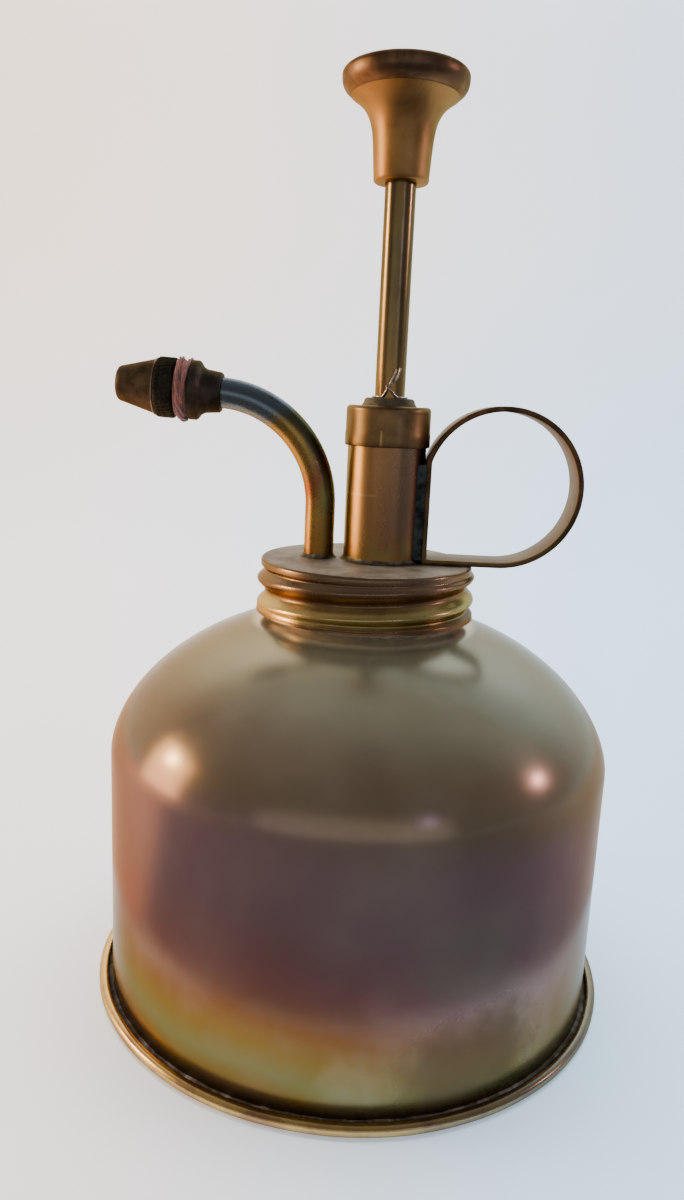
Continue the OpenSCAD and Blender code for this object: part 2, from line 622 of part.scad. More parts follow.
module valve_block() color([0.6, 0.48, 0.28]) difference() {
    union() {
        at_pump() translate([0, 0, inlet_seat_z - 2.4])
            cylinder(r = block_r, h = barrel_foot_z + block_lap - inlet_seat_z + 2.4);
        at_pump() translate([0, 0, block_foot_z]) cylinder(r = dip_r + 1.2, h = dip_lap + 2);
        at_spout() translate([0, 0, passage_z - 2.4]) cylinder(r = lug_r, h = lug_top_z - passage_z + 2.4);
        translate([-spout_x, -lug_r + 0.4, passage_z - 2.4])
            cube([spout_x + pump_x, 2 * lug_r - 0.8, web_h]);
    }
    at_pump() {
        translate([0, 0, barrel_foot_z]) cylinder(r = barrel_r + fit, h = block_lap + 1);
        translate([0, 0, inlet_seat_z]) cylinder(r = inlet_chamber_r, h = barrel_foot_z - inlet_seat_z + 1);
        translate([0, 0, block_foot_z - 1]) cylinder(r = inlet_hole_r, h = inlet_seat_z - block_foot_z + 2);
        translate([0, 0, block_foot_z - 1]) cylinder(r = dip_r + fit, h = dip_lap + 1);
        translate([0, block_r + 1, inlet_pin_z]) rotate([90, 0, 0]) cylinder(r = pin_r + fit, h = 2 * block_r + 2);
    }
    at_spout() {
        translate([0, 0, passage_z - passage_r]) cylinder(r = outlet_hole_r, h = lug_top_z);
        translate([0, 0, outlet_seat_z]) cylinder(r = outlet_chamber_r, h = lug_top_z);
        translate([0, 0, riser_foot_z]) cylinder(r = spout_r + fit, h = lug_top_z);
        translate([0, lug_r + 1, outlet_pin_z]) rotate([90, 0, 0]) cylinder(r = pin_r + fit, h = 2 * lug_r + 2);
    }
    translate([-spout_x, 0, passage_z]) rotate([0, 90, 0]) cylinder(r = passage_r, h = spout_x + pump_x);
}

module inlet_ball() color([0.75, 0.75, 0.78])
    at_pump() translate([0, 0, inlet_seat_z + inlet_ball_seat + fit]) sphere(r = inlet_r, $fn = 48);

module outlet_ball() color([0.75, 0.75, 0.78])
    at_spout() translate([0, 0, outlet_seat_z + outlet_ball_seat + fit]) sphere(r = outlet_r, $fn = 48);

// A round pin across the Y direction
module cross_pin(z, half)
    translate([0, half, z]) rotate([90, 0, 0]) cylinder(r = pin_r, h = 2 * half, $fn = 24);

module inlet_pin() color([0.6, 0.5, 0.3]) at_pump() cross_pin(inlet_pin_z, block_r - 0.3);

module outlet_pin() color([0.6, 0.5, 0.3]) at_spout() cross_pin(outlet_pin_z, lug_r - 0.2);

module dip_tube() color([0.6, 0.48, 0.28])
    at_pump() tube(dip_r, dip_bore_r, dip_top_z - fit - strainer_z - 1, strainer_z + 1);

// Cup with three rows of holes, soldered over the dip tube's end
module strainer() color([0.6, 0.5, 0.3]) at_pump() difference() {
    translate([0, 0, strainer_z]) cylinder(r = strainer_r, h = strainer_h);
    translate([0, 0, strainer_z + 0.6]) cylinder(r = strainer_r - 0.6, h = strainer_h - 1.6);
    translate([0, 0, strainer_z + 0.9]) cylinder(r = dip_r + fit, h = strainer_h);
    for (row = [0:2], a = [0:45:315])
        translate([0, 0, strainer_z + 2 + 2 * row]) rotate([90, 0, a + 22.5 * (row % 2)])
            translate([0, 0, dip_r + 0.5]) cylinder(d = 1, h = 3, $fn = 16);
}

bottle_shell();
base_pan();
base_seam();
lid_gasket();
lid_cap();
pump_barrel();
barrel_solder();
barrel_cap();
gland_bush();
gland_packing();
tie_wire();
finger_ring();
ring_solder();
spout_tube();
spout_solder();
nozzle_socket();
swirl_core();
sealing_twine();
nozzle_washer();
nozzle_cap();
plunger_rod();
knob_stem();
knob_disc();
piston_plate();
cup_leather();
piston_nut();
spring_seat();
return_spring();
valve_block();
inlet_ball();
inlet_pin();
outlet_ball();
outlet_pin();
dip_tube();
strainer();
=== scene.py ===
"""Looks of a spun brass plant mister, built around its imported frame."""

import json
import math

import bmesh
import bpy
from mathutils import Euler, Matrix, Vector


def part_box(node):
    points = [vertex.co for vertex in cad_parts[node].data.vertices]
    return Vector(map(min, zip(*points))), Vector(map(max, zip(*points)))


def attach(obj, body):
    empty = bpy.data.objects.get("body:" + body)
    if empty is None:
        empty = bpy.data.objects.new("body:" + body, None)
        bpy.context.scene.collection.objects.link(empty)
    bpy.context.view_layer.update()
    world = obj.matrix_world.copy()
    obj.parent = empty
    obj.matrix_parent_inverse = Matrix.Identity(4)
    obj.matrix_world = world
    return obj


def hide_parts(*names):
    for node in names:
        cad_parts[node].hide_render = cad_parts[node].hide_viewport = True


bl_info = {
    "name": "Brass Plant Mister",
    "version": (1, 0, 0),
    "blender": (4, 5, 0),
    "location": "View3D > Sidebar > Mister",
    "description": "Builds a brass plant mister: bottle, lid, pump, spout, nozzle and ring",
    "category": "Object",
}

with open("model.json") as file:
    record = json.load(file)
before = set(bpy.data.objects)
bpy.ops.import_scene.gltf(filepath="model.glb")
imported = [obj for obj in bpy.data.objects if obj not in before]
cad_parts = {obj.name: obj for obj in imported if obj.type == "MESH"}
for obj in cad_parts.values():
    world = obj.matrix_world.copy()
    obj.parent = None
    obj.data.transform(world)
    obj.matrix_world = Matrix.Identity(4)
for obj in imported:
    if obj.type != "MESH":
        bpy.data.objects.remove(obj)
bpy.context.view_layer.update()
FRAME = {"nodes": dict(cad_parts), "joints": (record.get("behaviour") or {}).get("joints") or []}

MM = 0.001
FIT = 0.02 * MM  # play between a piece and the one it sits on
X, Y, Z = Vector((1, 0, 0)), Vector((0, 1, 0)), Vector((0, 0, 1))
FULL_TURN = 2 * math.pi

# Places read from the frame
BOTTLE_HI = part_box("bottle_shell")[1]
PAN_LO, PAN_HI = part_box("base_pan")
LID_LO, LID_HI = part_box("lid_cap")
BARREL_LO, BARREL_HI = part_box("pump_barrel")
CAP_LO, CAP_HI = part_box("barrel_cap")
BOSS_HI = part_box("gland_bush")[1]
ROD_LO, ROD_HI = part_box("plunger_rod")
STEM_LO, STEM_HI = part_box("knob_stem")
DISC_LO, DISC_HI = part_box("knob_disc")
RING_LO, RING_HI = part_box("finger_ring")
SPOUT_LO, SPOUT_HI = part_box("spout_tube")
FOOT_LO, FOOT_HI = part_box("spout_solder")
BODY_R = BOTTLE_HI.x
LID_TOP = LID_HI.z
PUMP_X = (BARREL_LO.x + BARREL_HI.x) / 2
BARREL_R = (BARREL_HI.x - BARREL_LO.x) / 2
CAP_R = (CAP_HI.x - CAP_LO.x) / 2
ROD_R = (ROD_HI.x - ROD_LO.x) / 2
KNOB_R = (DISC_HI.x - DISC_LO.x) / 2
SPOUT_X = (FOOT_LO.x + FOOT_HI.x) / 2
SPOUT_R = (SPOUT_HI.y - SPOUT_LO.y) / 2
NOZZLE_JOINT = next(j for j in FRAME["joints"] if j["name"] == "nozzle_turn")
MOUTH = Vector(NOZZLE_JOINT["pos_m"])
NOZZLE_AXIS = Vector(NOZZLE_JOINT["axis"]).normalized()


# ---------------------------------------------------------------- sizes and colours

def length(name, default, description):
    return bpy.props.FloatProperty(
        name=name, description=description, default=default, min=0.0, unit="LENGTH",
        subtype="DISTANCE", precision=5)


def number(name, default, description):
    return bpy.props.FloatProperty(name=name, description=description, default=default)


def colour(name, default, description):
    return bpy.props.FloatVectorProperty(
        name=name, description=description, default=default, size=3, min=0.0, max=1.0,
        subtype="COLOR")


class MisterSizes(bpy.types.PropertyGroup):
    """Sizes of the pieces that the frame's boxes don't give"""

    wall_height: length("Wall height", 44 * MM, "Straight wall of the bottle above the table")
    wall_thickness: length("Wall thickness", 0.8 * MM, "Sheet of the bottle")
    dome_height: length("Dome height", 24 * MM, "Domed shoulder, if it ran on to the axis")
    dome_core: length("Dome core", 11 * MM, "Radius of the flat core of the dome's curve")
    dome_fullness: number("Dome fullness", 1.72, "2 is an ellipse, less is a softer shoulder")
    neck_fillet: length("Neck fillet", 1.2 * MM, "Fillet between the dome and the neck")
    thread_pitch: length("Thread pitch", 4.2 * MM, "Rise of the rolled thread in one turn")
    thread_depth: length("Thread depth", 1.4 * MM, "Rolled thread from crest to root")
    thread_height: length("Thread height", 70.732 * MM, "Height of a crest at the front")
    lid_radius: length("Lid radius", 18.4 * MM, "Mean radius of the lid's skirt")
    skirt_thickness: length("Skirt thickness", 0.5 * MM, "Sheet of the lid's skirt")
    plate_thickness: length("Plate thickness", 0.6 * MM, "Lid's top plate")
    bead_radius: length("Bead radius", 1.0 * MM, "Rolled bead round the base")
    strip_width: length("Strip width", 8 * MM, "Width of the finger ring's strip")
    strip_thickness: length("Strip thickness", 0.9 * MM, "Thickness of the finger ring's strip")
    bend_radius: length("Bend radius", 18.4 * MM, "Bend of the spout at the tube's centre")
    knurl_ribs: bpy.props.IntProperty(
        name="Knurl ribs", description="Ribs round the nozzle's band", default=40, min=12)


class MisterColours(bpy.types.PropertyGroup):
    """Base colours of the finishes, in linear light"""

    shoulder: colour("Shoulder", (0.235, 0.225, 0.15), "Olive brass of the shoulder")
    smoke: colour("Smoke", (0.21, 0.155, 0.10), "Smoked brown below the shoulder")
    mauve: colour("Mauve", (0.225, 0.145, 0.16), "Mauve heat band")
    plum: colour("Plum", (0.235, 0.105, 0.10), "Red-brown heat band")
    orange: colour("Orange", (0.17, 0.068, 0.020), "Orange heat band")
    straw: colour("Straw", (0.17, 0.105, 0.016), "Yellow band near the base")
    green: colour("Green", (0.15, 0.145, 0.045), "Pale green band at the base")
    gold: colour("Gold", (0.68, 0.47, 0.17), "Rubbed bright brass")
    bronze: colour("Bronze", (0.36, 0.215, 0.115), "Copper-brown of the lid and cap")
    dark: colour("Dark bronze", (0.13, 0.085, 0.05), "Tarnish in corners and on edges")
    dust: colour("Dust", (0.30, 0.27, 0.215), "Dry dust on upward faces")
    twine: colour("Twine", (0.20, 0.062, 0.045), "Frayed red-brown twine")
    wire: colour("Wire", (0.80, 0.76, 0.70), "Bright tie wire")
    film: colour("Film", (0.70, 0.64, 0.54), "Brown film that dulls the lid, pump, ring and spout")
    edge: colour("Edge", (0.55, 0.46, 0.36), "Tint of tarnished metal seen edge on")


def sizes():
    return bpy.context.scene.mister_sizes


def colours():
    return bpy.context.scene.mister_colours


# ---------------------------------------------------------------- shaping

def arc(centre, radius, start, end, steps):
    """Points of an arc in profile terms, angles in degrees."""
    points = []
    for i in range(steps + 1):
        a = math.radians(start + (end - start) * i / steps)
        points.append((centre[0] + radius * math.cos(a), centre[1] + radius * math.sin(a)))
    return points


def smooth_step(value, low, high):
    u = min(1.0, max(0.0, (value - low) / (high - low)))
    return u * u * (3 - 2 * u)


def turned(bm, outline, at=Vector((0, 0, 0)), axis=Z, across=X, steps=128, closed=False):
    """Spins an outline of (radius, height) pairs into a closed body."""
    verts = [bm.verts.new(at + across * r + axis * h) for r, h in outline]
    edges = [bm.edges.new(pair) for pair in zip(verts, verts[1:])]
    if closed:
        edges.append(bm.edges.new((verts[-1], verts[0])))
    before = set(bm.verts) - set(verts)
    bmesh.ops.spin(bm, geom=verts + edges, cent=at, axis=axis, angle=FULL_TURN,
                   steps=steps, use_merge=True, use_duplicate=False)
    made = [v for v in bm.verts if v not in before]
    bmesh.ops.remove_doubles(bm, verts=made, dist=1e-7)


def eased(bm, width, least_angle=35, segments=2):
    """Rounds every edge that turns by more than least_angle."""
    bm.normal_update()
    sharp = [e for e in bm.edges
             if len(e.link_faces) == 2 and e.calc_face_angle() > math.radians(least_angle)]
    bmesh.ops.bevel(bm, geom=sharp, offset=width, segments=segments, profile=0.5,
                    affect="EDGES", material=-1, clamp_overlap=True)


def linked(bm, name, finishes=()):
    """Puts a mesh into the scene as a new object."""
    mesh = bpy.data.meshes.new(name)
    bm.to_mesh(mesh)
    bm.free()
    for finish in finishes:
        mesh.materials.append(finish)
    obj = bpy.data.objects.new(name, mesh)
    bpy.context.scene.collection.objects.link(obj)
    return obj


def piece(bm, name, body, slot, finishes, *nodes, crease=38):
    """Closes a mesh off as an object that rides on a body and stands for CAD nodes."""
    bmesh.ops.recalc_face_normals(bm, faces=bm.faces)
    for face in bm.faces:
        face.smooth = True
    for edge in bm.edges:
        if len(edge.link_faces) == 2:
            edge.smooth = edge.calc_face_angle() < math.radians(crease)
    obj = linked(bm, name, finishes)
    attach(obj, body)
    if nodes:
        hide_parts(*nodes)
    return obj


def swept(bm, path, radius, sides=12, outward=None):
    """A round cord or tube carried along a run of points, closed at both ends."""
    line = [Vector(p) for p in path]
    last = len(line) - 1
    ring = None
    for i, point in enumerate(line):
        along = (line[min(i + 1, last)] - line[max(i - 1, 0)]).normalized()
        out = outward(point) if outward else Y
        out = (out - along * out.dot(along)).normalized()
        turn = Matrix((out, along.cross(out), along)).transposed().to_4x4()
        place = Matrix.Translation(point) @ turn
        made = bmesh.ops.create_circle(bm, cap_ends=i in (0, last), segments=sides,
                                       radius=radius, matrix=place)["verts"]
        edges = list({e for v in made for e in v.link_edges})
        if ring:
            bmesh.ops.bridge_loops(bm, edges=ring + edges)
        ring = edges


def softened(points, passes=2):
    """Cuts the corners of a run of points."""
    line = [Vector(p) for p in points]
    for _ in range(passes):
        cut = [line[0]]
        for a, b in zip(line, line[1:]):
            cut += [a.lerp(b, 0.25), a.lerp(b, 0.75)]
        line = cut + [line[-1]]
    return line


# ---------------------------------------------------------------- finishes

class Finish:
    """Puts a node material together from short calls."""

    def __init__(self, name, metallic=1.0, film=False):
        self.film = film
        self.material = bpy.data.materials.new(name)
        self.material.use_nodes = True
        self.tree = self.material.node_tree
        self.shader = self.tree.nodes["Principled BSDF"]
        self.shader.inputs["Metallic"].default_value = metallic
        self.place = self.add("ShaderNodeTexCoord").outputs["Object"]
        parts = self.add("ShaderNodeSeparateXYZ", {0: self.place})
        self.x, self.y, self.z = parts.outputs
        normal = self.add("ShaderNodeNewGeometry").outputs["Normal"]
        facing = self.add("ShaderNodeSeparateXYZ", {0: normal})
        self.facing_x, self.facing_y, self.facing_z = facing.outputs

    def add(self, kind, inputs=(), **settings):
        node = self.tree.nodes.new(kind)
        for key, value in settings.items():
            setattr(node, key, value)
        for key, value in dict(inputs).items():
            if isinstance(value, bpy.types.NodeSocket):
                self.tree.links.new(value, node.inputs[key])
            else:
                node.inputs[key].default_value = value
        return node

    def math(self, operation, a, b=0.0, c=0.0):
        return self.add("ShaderNodeMath", {0: a, 1: b, 2: c}, operation=operation).outputs[0]

    def scaled(self, across, along):
        """Object coordinates with the heights scaled apart from the rest."""
        return self.add("ShaderNodeMapping", {"Vector": self.place,
                                              "Scale": (across, across, along)}).outputs[0]

    def noise(self, scale, detail=3.0, rough=0.55, where=None, warp=0.0):
        return self.add("ShaderNodeTexNoise", {
            "Vector": where or self.place, "Scale": scale, "Detail": detail,
            "Roughness": rough, "Distortion": warp}).outputs["Fac"]

    def span(self, value, low, high, out_low=0.0, out_high=1.0):
        return self.add("ShaderNodeMapRange", {
            "Value": value, "From Min": low, "From Max": high, "To Min": out_low,
            "To Max": out_high}, interpolation_type="SMOOTHSTEP").outputs[0]

    def ramp(self, value, stops):
        node = self.add("ShaderNodeValToRGB", {"Fac": value})
        elements = node.color_ramp.elements
        while len(elements) < len(stops):
            elements.new(0.5)
        for element, (place, tint) in zip(elements, stops):
            element.position = place
            element.color = (*tint, 1.0)
        return node.outputs["Color"]

    def mix(self, amount, a, b, mode="MIX"):
        node = self.add("ShaderNodeMix", data_type="RGBA", blend_type=mode)
        for key, value in ((0, amount), (6, a), (7, b)):
            if isinstance(value, bpy.types.NodeSocket):
                self.tree.links.new(value, node.inputs[key])
            else:
                node.inputs[key].default_value = value if key == 0 else (*value, 1.0)
        return node.outputs[2]

    def spot(self, centre, radius, ragged, scale):
        """A ragged patch: 1 at the centre, 0 outside the radius."""
        far = self.add("ShaderNodeVectorMath", {0: self.place, 1: centre},
                       operation="DISTANCE").outputs["Value"]
        torn = self.math("MULTIPLY_ADD", self.noise(scale, 5.0, 0.7), ragged, far)
        return self.span(torn, radius + ragged * 0.75, radius * 0.45 + ragged * 0.4)

    def done(self, base, roughness, height=None, strength=0.2, depth=0.0001):
        if self.film:
            base = self.mix(1.0, base, tuple(colours().film), "MULTIPLY")
        if self.shader.inputs["Metallic"].default_value > 0:
            self.shader.inputs["Specular Tint"].default_value = (*colours().edge, 1.0)
        for key, value in (("Base Color", base), ("Roughness", roughness)):
            if isinstance(value, bpy.types.NodeSocket):
                self.tree.links.new(value, self.shader.inputs[key])
            elif key == "Base Color":
                self.shader.inputs[key].default_value = (*value, 1.0)
            else:
                self.shader.inputs[key].default_value = value
        if height is not None:
            bump = self.add("ShaderNodeBump", {"Height": height, "Strength": strength,
                                               "Distance": depth})
            self.tree.links.new(bump.outputs[0], self.shader.inputs["Normal"])
        return self.material


def heat_tinted_bottle():
    """Satin brass whose heat colours run in bands from the shoulder to the base."""
    c = colours()
    f = Finish("heat tinted bottle", 0.8)
    wander = f.math("SUBTRACT", f.noise(22, 4, 0.6), 0.5)
    height = f.math("MULTIPLY_ADD", wander, 9 * MM, f.z)
    height = f.math("MULTIPLY_ADD", f.x, 0.09, height)
    top = 70 * MM
    tint = f.ramp(f.math("DIVIDE", height, top), [
        (0.00, c.dark), (0.035, c.straw), (0.08, c.green), (0.135, c.straw),
        (0.205, c.orange), (0.30, c.plum), (0.44, c.mauve), (0.58, c.mauve),
        (0.68, c.smoke), (0.76, c.smoke), (0.85, c.shoulder), (1.0, c.shoulder)])
    cloud = f.noise(38, 5, 0.58)
    tint = f.mix(f.span(cloud, 0.42, 0.78, 0.0, 0.35), tint, (0.42, 0.36, 0.27))
    tint = f.mix(f.span(cloud, 0.52, 0.25, 0.0, 0.4), tint, c.smoke)
    smudges = f.math("MAXIMUM", f.spot((16 * MM, -40 * MM, 8 * MM), 9 * MM, 9 * MM, 260),
                     f.spot((23 * MM, -37 * MM, 11 * MM), 8 * MM, 9 * MM, 310))
    tint = f.mix(f.math("MULTIPLY", smudges, 0.62), tint, c.dark)
    bloom = f.spot((19 * MM, -39 * MM, 26 * MM), 9 * MM, 10 * MM, 90)
    tint = f.mix(f.math("MULTIPLY", bloom, 0.4), tint, (0.20, 0.21, 0.15))
    radius = f.add("ShaderNodeVectorMath",
                   {0: f.add("ShaderNodeCombineXYZ", {0: f.x, 1: f.y}).outputs[0]},
                   operation="LENGTH").outputs["Value"]
    # Painted highlight: a pale cream ring on the neck fillet under the lid, standing in for the
    # fillet's bright reflection.
    painted_fillet_highlight = f.span(radius, 20.6 * MM, 18.2 * MM, 0.0, 0.85)
    tint = f.mix(painted_fillet_highlight, tint, (0.90, 0.82, 0.62))
    rim = f.span(f.math("MULTIPLY_ADD", f.noise(240, 4, 0.7), 2.2 * MM, f.z), 3.4 * MM, 1.6 * MM)
    tint = f.mix(rim, tint, (0.07, 0.042, 0.022))
    spun = f.noise(1, 3, 0.6, f.scaled(14, 2600))
    grain = f.noise(900, 3, 0.6)
    rough = f.math("MULTIPLY_ADD", cloud, 0.12, 0.165)
    rough = f.math("MULTIPLY_ADD", smudges, 0.2, rough)
    relief = f.math("MULTIPLY_ADD", spun, 0.5, f.math("MULTIPLY_ADD", f.noise(45, 2), 2.0, grain))
    f.shader.inputs["Anisotropic"].default_value = 0.35
    f.shader.inputs["Anisotropic Rotation"].default_value = 0.25
    around = f.add("ShaderNodeTangent", direction_type="RADIAL", axis="Z")
    f.tree.links.new(around.outputs[0], f.shader.inputs["Tangent"])
    return f.done(tint, rough, relief, 0.12, 0.05 * MM)


def rubbed_rim():
    """Gold bead, rubbed on its crown and tarnished beside it, with painted shade greying its right
    side.
    """
    c = colours()
    f = Finish("rubbed rim")
    wear = f.noise(95, 5, 0.65)
    crown = f.span(f.facing_z, -0.35, 0.55)
    tint = f.mix(f.span(wear, 0.38, 0.66), c.bronze, c.gold)
    tint = f.mix(f.math("MULTIPLY", crown, f.span(wear, 0.3, 0.6)), tint, c.gold)
    # Painted shade: the bead turns greyer and duller towards its right side.
    side = f.span(f.x, -12 * MM, 34 * MM, 0.0, 0.85)
    tint = f.mix(side, tint, (0.14, 0.135, 0.115))
    groove = f.math("SUBTRACT", 1.0, f.span(f.z, 0.8 * MM, 1.5 * MM))
    inner = f.math("MULTIPLY", groove, f.span(f.facing_z, 0.6, 0.9))
    tint = f.mix(inner, tint, (0.06, 0.045, 0.03))
    rough = f.math("MULTIPLY_ADD", wear, 0.2, 0.16)
    return f.done(tint, rough, f.noise(420, 4, 0.6), 0.3, 0.06 * MM)


def groove_solder():
    """Rough grey solder and dirt in the groove round the wall."""
    f = Finish("groove solder", 0.55)
    crumbs = f.noise(900, 5, 0.75)
    tint = f.ramp(f.noise(420, 5, 0.7), [
        (0.30, (0.030, 0.024, 0.018)), (0.48, (0.075, 0.062, 0.045)),
        (0.60, (0.16, 0.145, 0.12)), (0.74, (0.42, 0.41, 0.38))])
    return f.done(tint, f.math("MULTIPLY_ADD", crumbs, 0.3, 0.42), crumbs, 0.9, 0.25 * MM)


def aged_lid():
    """Copper-brown upper bead, gold lower bead with a painted highlight on its left, dust on the
    flat top.
    """
    c = colours()
    f = Finish("aged lid", film=True)
    s = sizes()
    patina = f.noise(120, 5, 0.62, warp=0.4)
    climb = 0.9 * s.thread_pitch / (FULL_TURN * s.lid_radius)
    level = f.math("SUBTRACT", f.z, f.math("MULTIPLY", f.x, climb))
    level = f.math("MULTIPLY_ADD", f.math("SUBTRACT", patina, 0.5), 1.6 * MM, level)
    low = s.thread_height - 3.2 * MM
    # Painted highlight: the lower bead's gold is brighter and warmer on the left than on the right.
    gold = f.mix(f.span(f.x, -14 * MM, 12 * MM), (1.0, 0.80, 0.36), (0.62, 0.58, 0.28))
    tint = f.ramp(f.span(level, low, LID_TOP, 0.0, 1.0), [
        (0.0, (0.26, 0.165, 0.10)), (0.16, (0.30, 0.19, 0.11)), (0.24, (0.58, 0.42, 0.18)),
        (0.40, (0.58, 0.45, 0.20)), (0.50, (0.28, 0.19, 0.12)), (0.66, (0.36, 0.25, 0.18)),
        (0.84, (0.36, 0.26, 0.19)), (1.0, (0.32, 0.25, 0.185))])
    gold_bead_and_highlight = f.math("MULTIPLY", f.span(level, low + 1.2 * MM, low + 2.6 * MM),
                  f.span(level, low + 5.2 * MM, low + 3.8 * MM))
    tint = f.mix(f.math("MULTIPLY", gold_bead_and_highlight, 0.8), tint, gold)
    tint = f.mix(f.span(patina, 0.5, 0.72, 0.0, 0.5), tint, c.bronze)
    dusty = f.span(f.facing_z, 0.72, 0.97)
    dust_tint = f.ramp(f.noise(260, 6, 0.7), [
        (0.30, (0.16, 0.135, 0.105)), (0.52, (0.29, 0.265, 0.225)), (0.72, (0.42, 0.41, 0.37))])
    tint = f.mix(dusty, tint, dust_tint)
    f.tree.links.new(f.span(dusty, 0.0, 1.0, 1.0, 0.45), f.shader.inputs["Metallic"])
    rough = f.math("MULTIPLY_ADD", patina, 0.14, 0.20)
    rough = f.math("MULTIPLY_ADD", dusty, 0.32, rough)
    return f.done(tint, rough, f.noise(700, 4, 0.65), 0.25, 0.05 * MM)


def stained_barrel():
    """Bronze tube with heat colours, a painted highlight near its left edge and painted shade on
    its right, and a blue-black stain along the finger ring.
    """
    f = Finish("stained barrel", film=True)
    patina = f.noise(150, 5, 0.6, f.scaled(1.0, 0.45), 0.7)
    # Painted light: across the barrel from left to right, a painted highlight runs near the left
    # edge and painted shade darkens the right side.
    across = f.math("DIVIDE", f.math("SUBTRACT", f.x, PUMP_X - BARREL_R), 2 * BARREL_R)
    across = f.math("MULTIPLY_ADD", f.math("SUBTRACT", patina, 0.5), 0.35, across)
    tint = f.ramp(across, [
        (0.0, (0.42, 0.31, 0.16)), (0.16, (0.66, 0.46, 0.20)), (0.34, (0.52, 0.31, 0.16)),
        (0.52, (0.42, 0.26, 0.165)), (0.72, (0.40, 0.27, 0.19)), (1.0, (0.26, 0.19, 0.14))])
    foot = f.math("SUBTRACT", 1.0, f.span(f.z, LID_TOP + 0.5 * MM, LID_TOP + 7 * MM))
    rainbow = f.ramp(f.noise(210, 4, 0.6, f.scaled(1.0, 0.6), 1.2), [
        (0.30, (0.50, 0.17, 0.10)), (0.45, (0.60, 0.36, 0.11)), (0.58, (0.42, 0.44, 0.16)),
        (0.72, (0.22, 0.36, 0.27))])
    tint = f.mix(f.math("MULTIPLY", foot, f.span(patina, 0.38, 0.62, 0.1, 0.75)), tint, rainbow)
    scratch = f.math("MULTIPLY", f.span(f.z, LID_TOP + 11.4 * MM, LID_TOP + 11.6 * MM),
                     f.span(f.z, LID_TOP + 11.9 * MM, LID_TOP + 11.7 * MM))
    scratch = f.math("MULTIPLY", scratch, f.span(f.x, PUMP_X - 1 * MM, PUMP_X - 2.4 * MM))
    tint = f.mix(f.math("MULTIPLY", scratch, 0.7), tint, (0.75, 0.62, 0.36))
    edge = f.math("MULTIPLY_ADD", f.noise(520, 5, 0.7), 2.6 * MM, f.x)
    reach = f.span(f.z, LID_TOP, BARREL_HI.z, 0.5 * MM, 1.1 * MM)
    edge = f.math("SUBTRACT", edge, reach)
    stain = f.span(edge, PUMP_X + BARREL_R - 0.9 * MM, PUMP_X + BARREL_R - 0.3 * MM)
    stain_tint = f.ramp(f.noise(330, 4, 0.6), [
        (0.35, (0.03, 0.034, 0.038)), (0.55, (0.08, 0.115, 0.13)), (0.75, (0.22, 0.29, 0.30))])
    halo = f.math("MULTIPLY",
                  f.span(edge, PUMP_X + BARREL_R - 2.6 * MM, PUMP_X + BARREL_R - 0.9 * MM),
                  f.math("SUBTRACT", 1.0, stain))
    tint = f.mix(f.math("MULTIPLY", halo, 0.45), tint, (0.46, 0.17, 0.12))
    tint = f.mix(stain, tint, stain_tint)
    rough = f.math("MULTIPLY_ADD", patina, 0.16, 0.2)
    rough = f.math("MULTIPLY_ADD", stain, 0.22, rough)
    relief = f.math("MULTIPLY_ADD", stain, 2.0, f.noise(1, 3, 0.6, f.scaled(160, 2200)))
    return f.done(tint, rough, relief, 0.14, 0.05 * MM)


def satin_bronze(name, light, deep, scale=140, rough_low=0.26, dust=0.0, rings=1800):
    """Worn bronze with cloudy patina, fine turning lines and dust on top faces."""
    c = colours()
    f = Finish(name)
    patina = f.noise(scale, 5, 0.62, warp=0.5)
    tint = f.mix(f.span(patina, 0.34, 0.68), deep, light)
    dusty = f.math("MULTIPLY", f.span(f.facing_z, 0.55, 0.95), dust)
    dusty = f.math("MULTIPLY", dusty, f.span(f.noise(420, 5, 0.7), 0.3, 0.6, 0.45, 1.0))
    tint = f.mix(dusty, tint, c.dust)
    f.tree.links.new(f.span(dusty, 0.0, 1.0, 1.0, 0.4), f.shader.inputs["Metallic"])
    rough = f.math("MULTIPLY_ADD", patina, 0.18, rough_low)
    rough = f.math("MULTIPLY_ADD", dusty, 0.3, rough)
    lines = f.noise(1, 3, 0.6, f.scaled(60, rings))
    relief = f.math("MULTIPLY_ADD", lines, 1.4, f.noise(800, 3, 0.6))
    return f.done(tint, rough, relief, 0.16, 0.05 * MM)


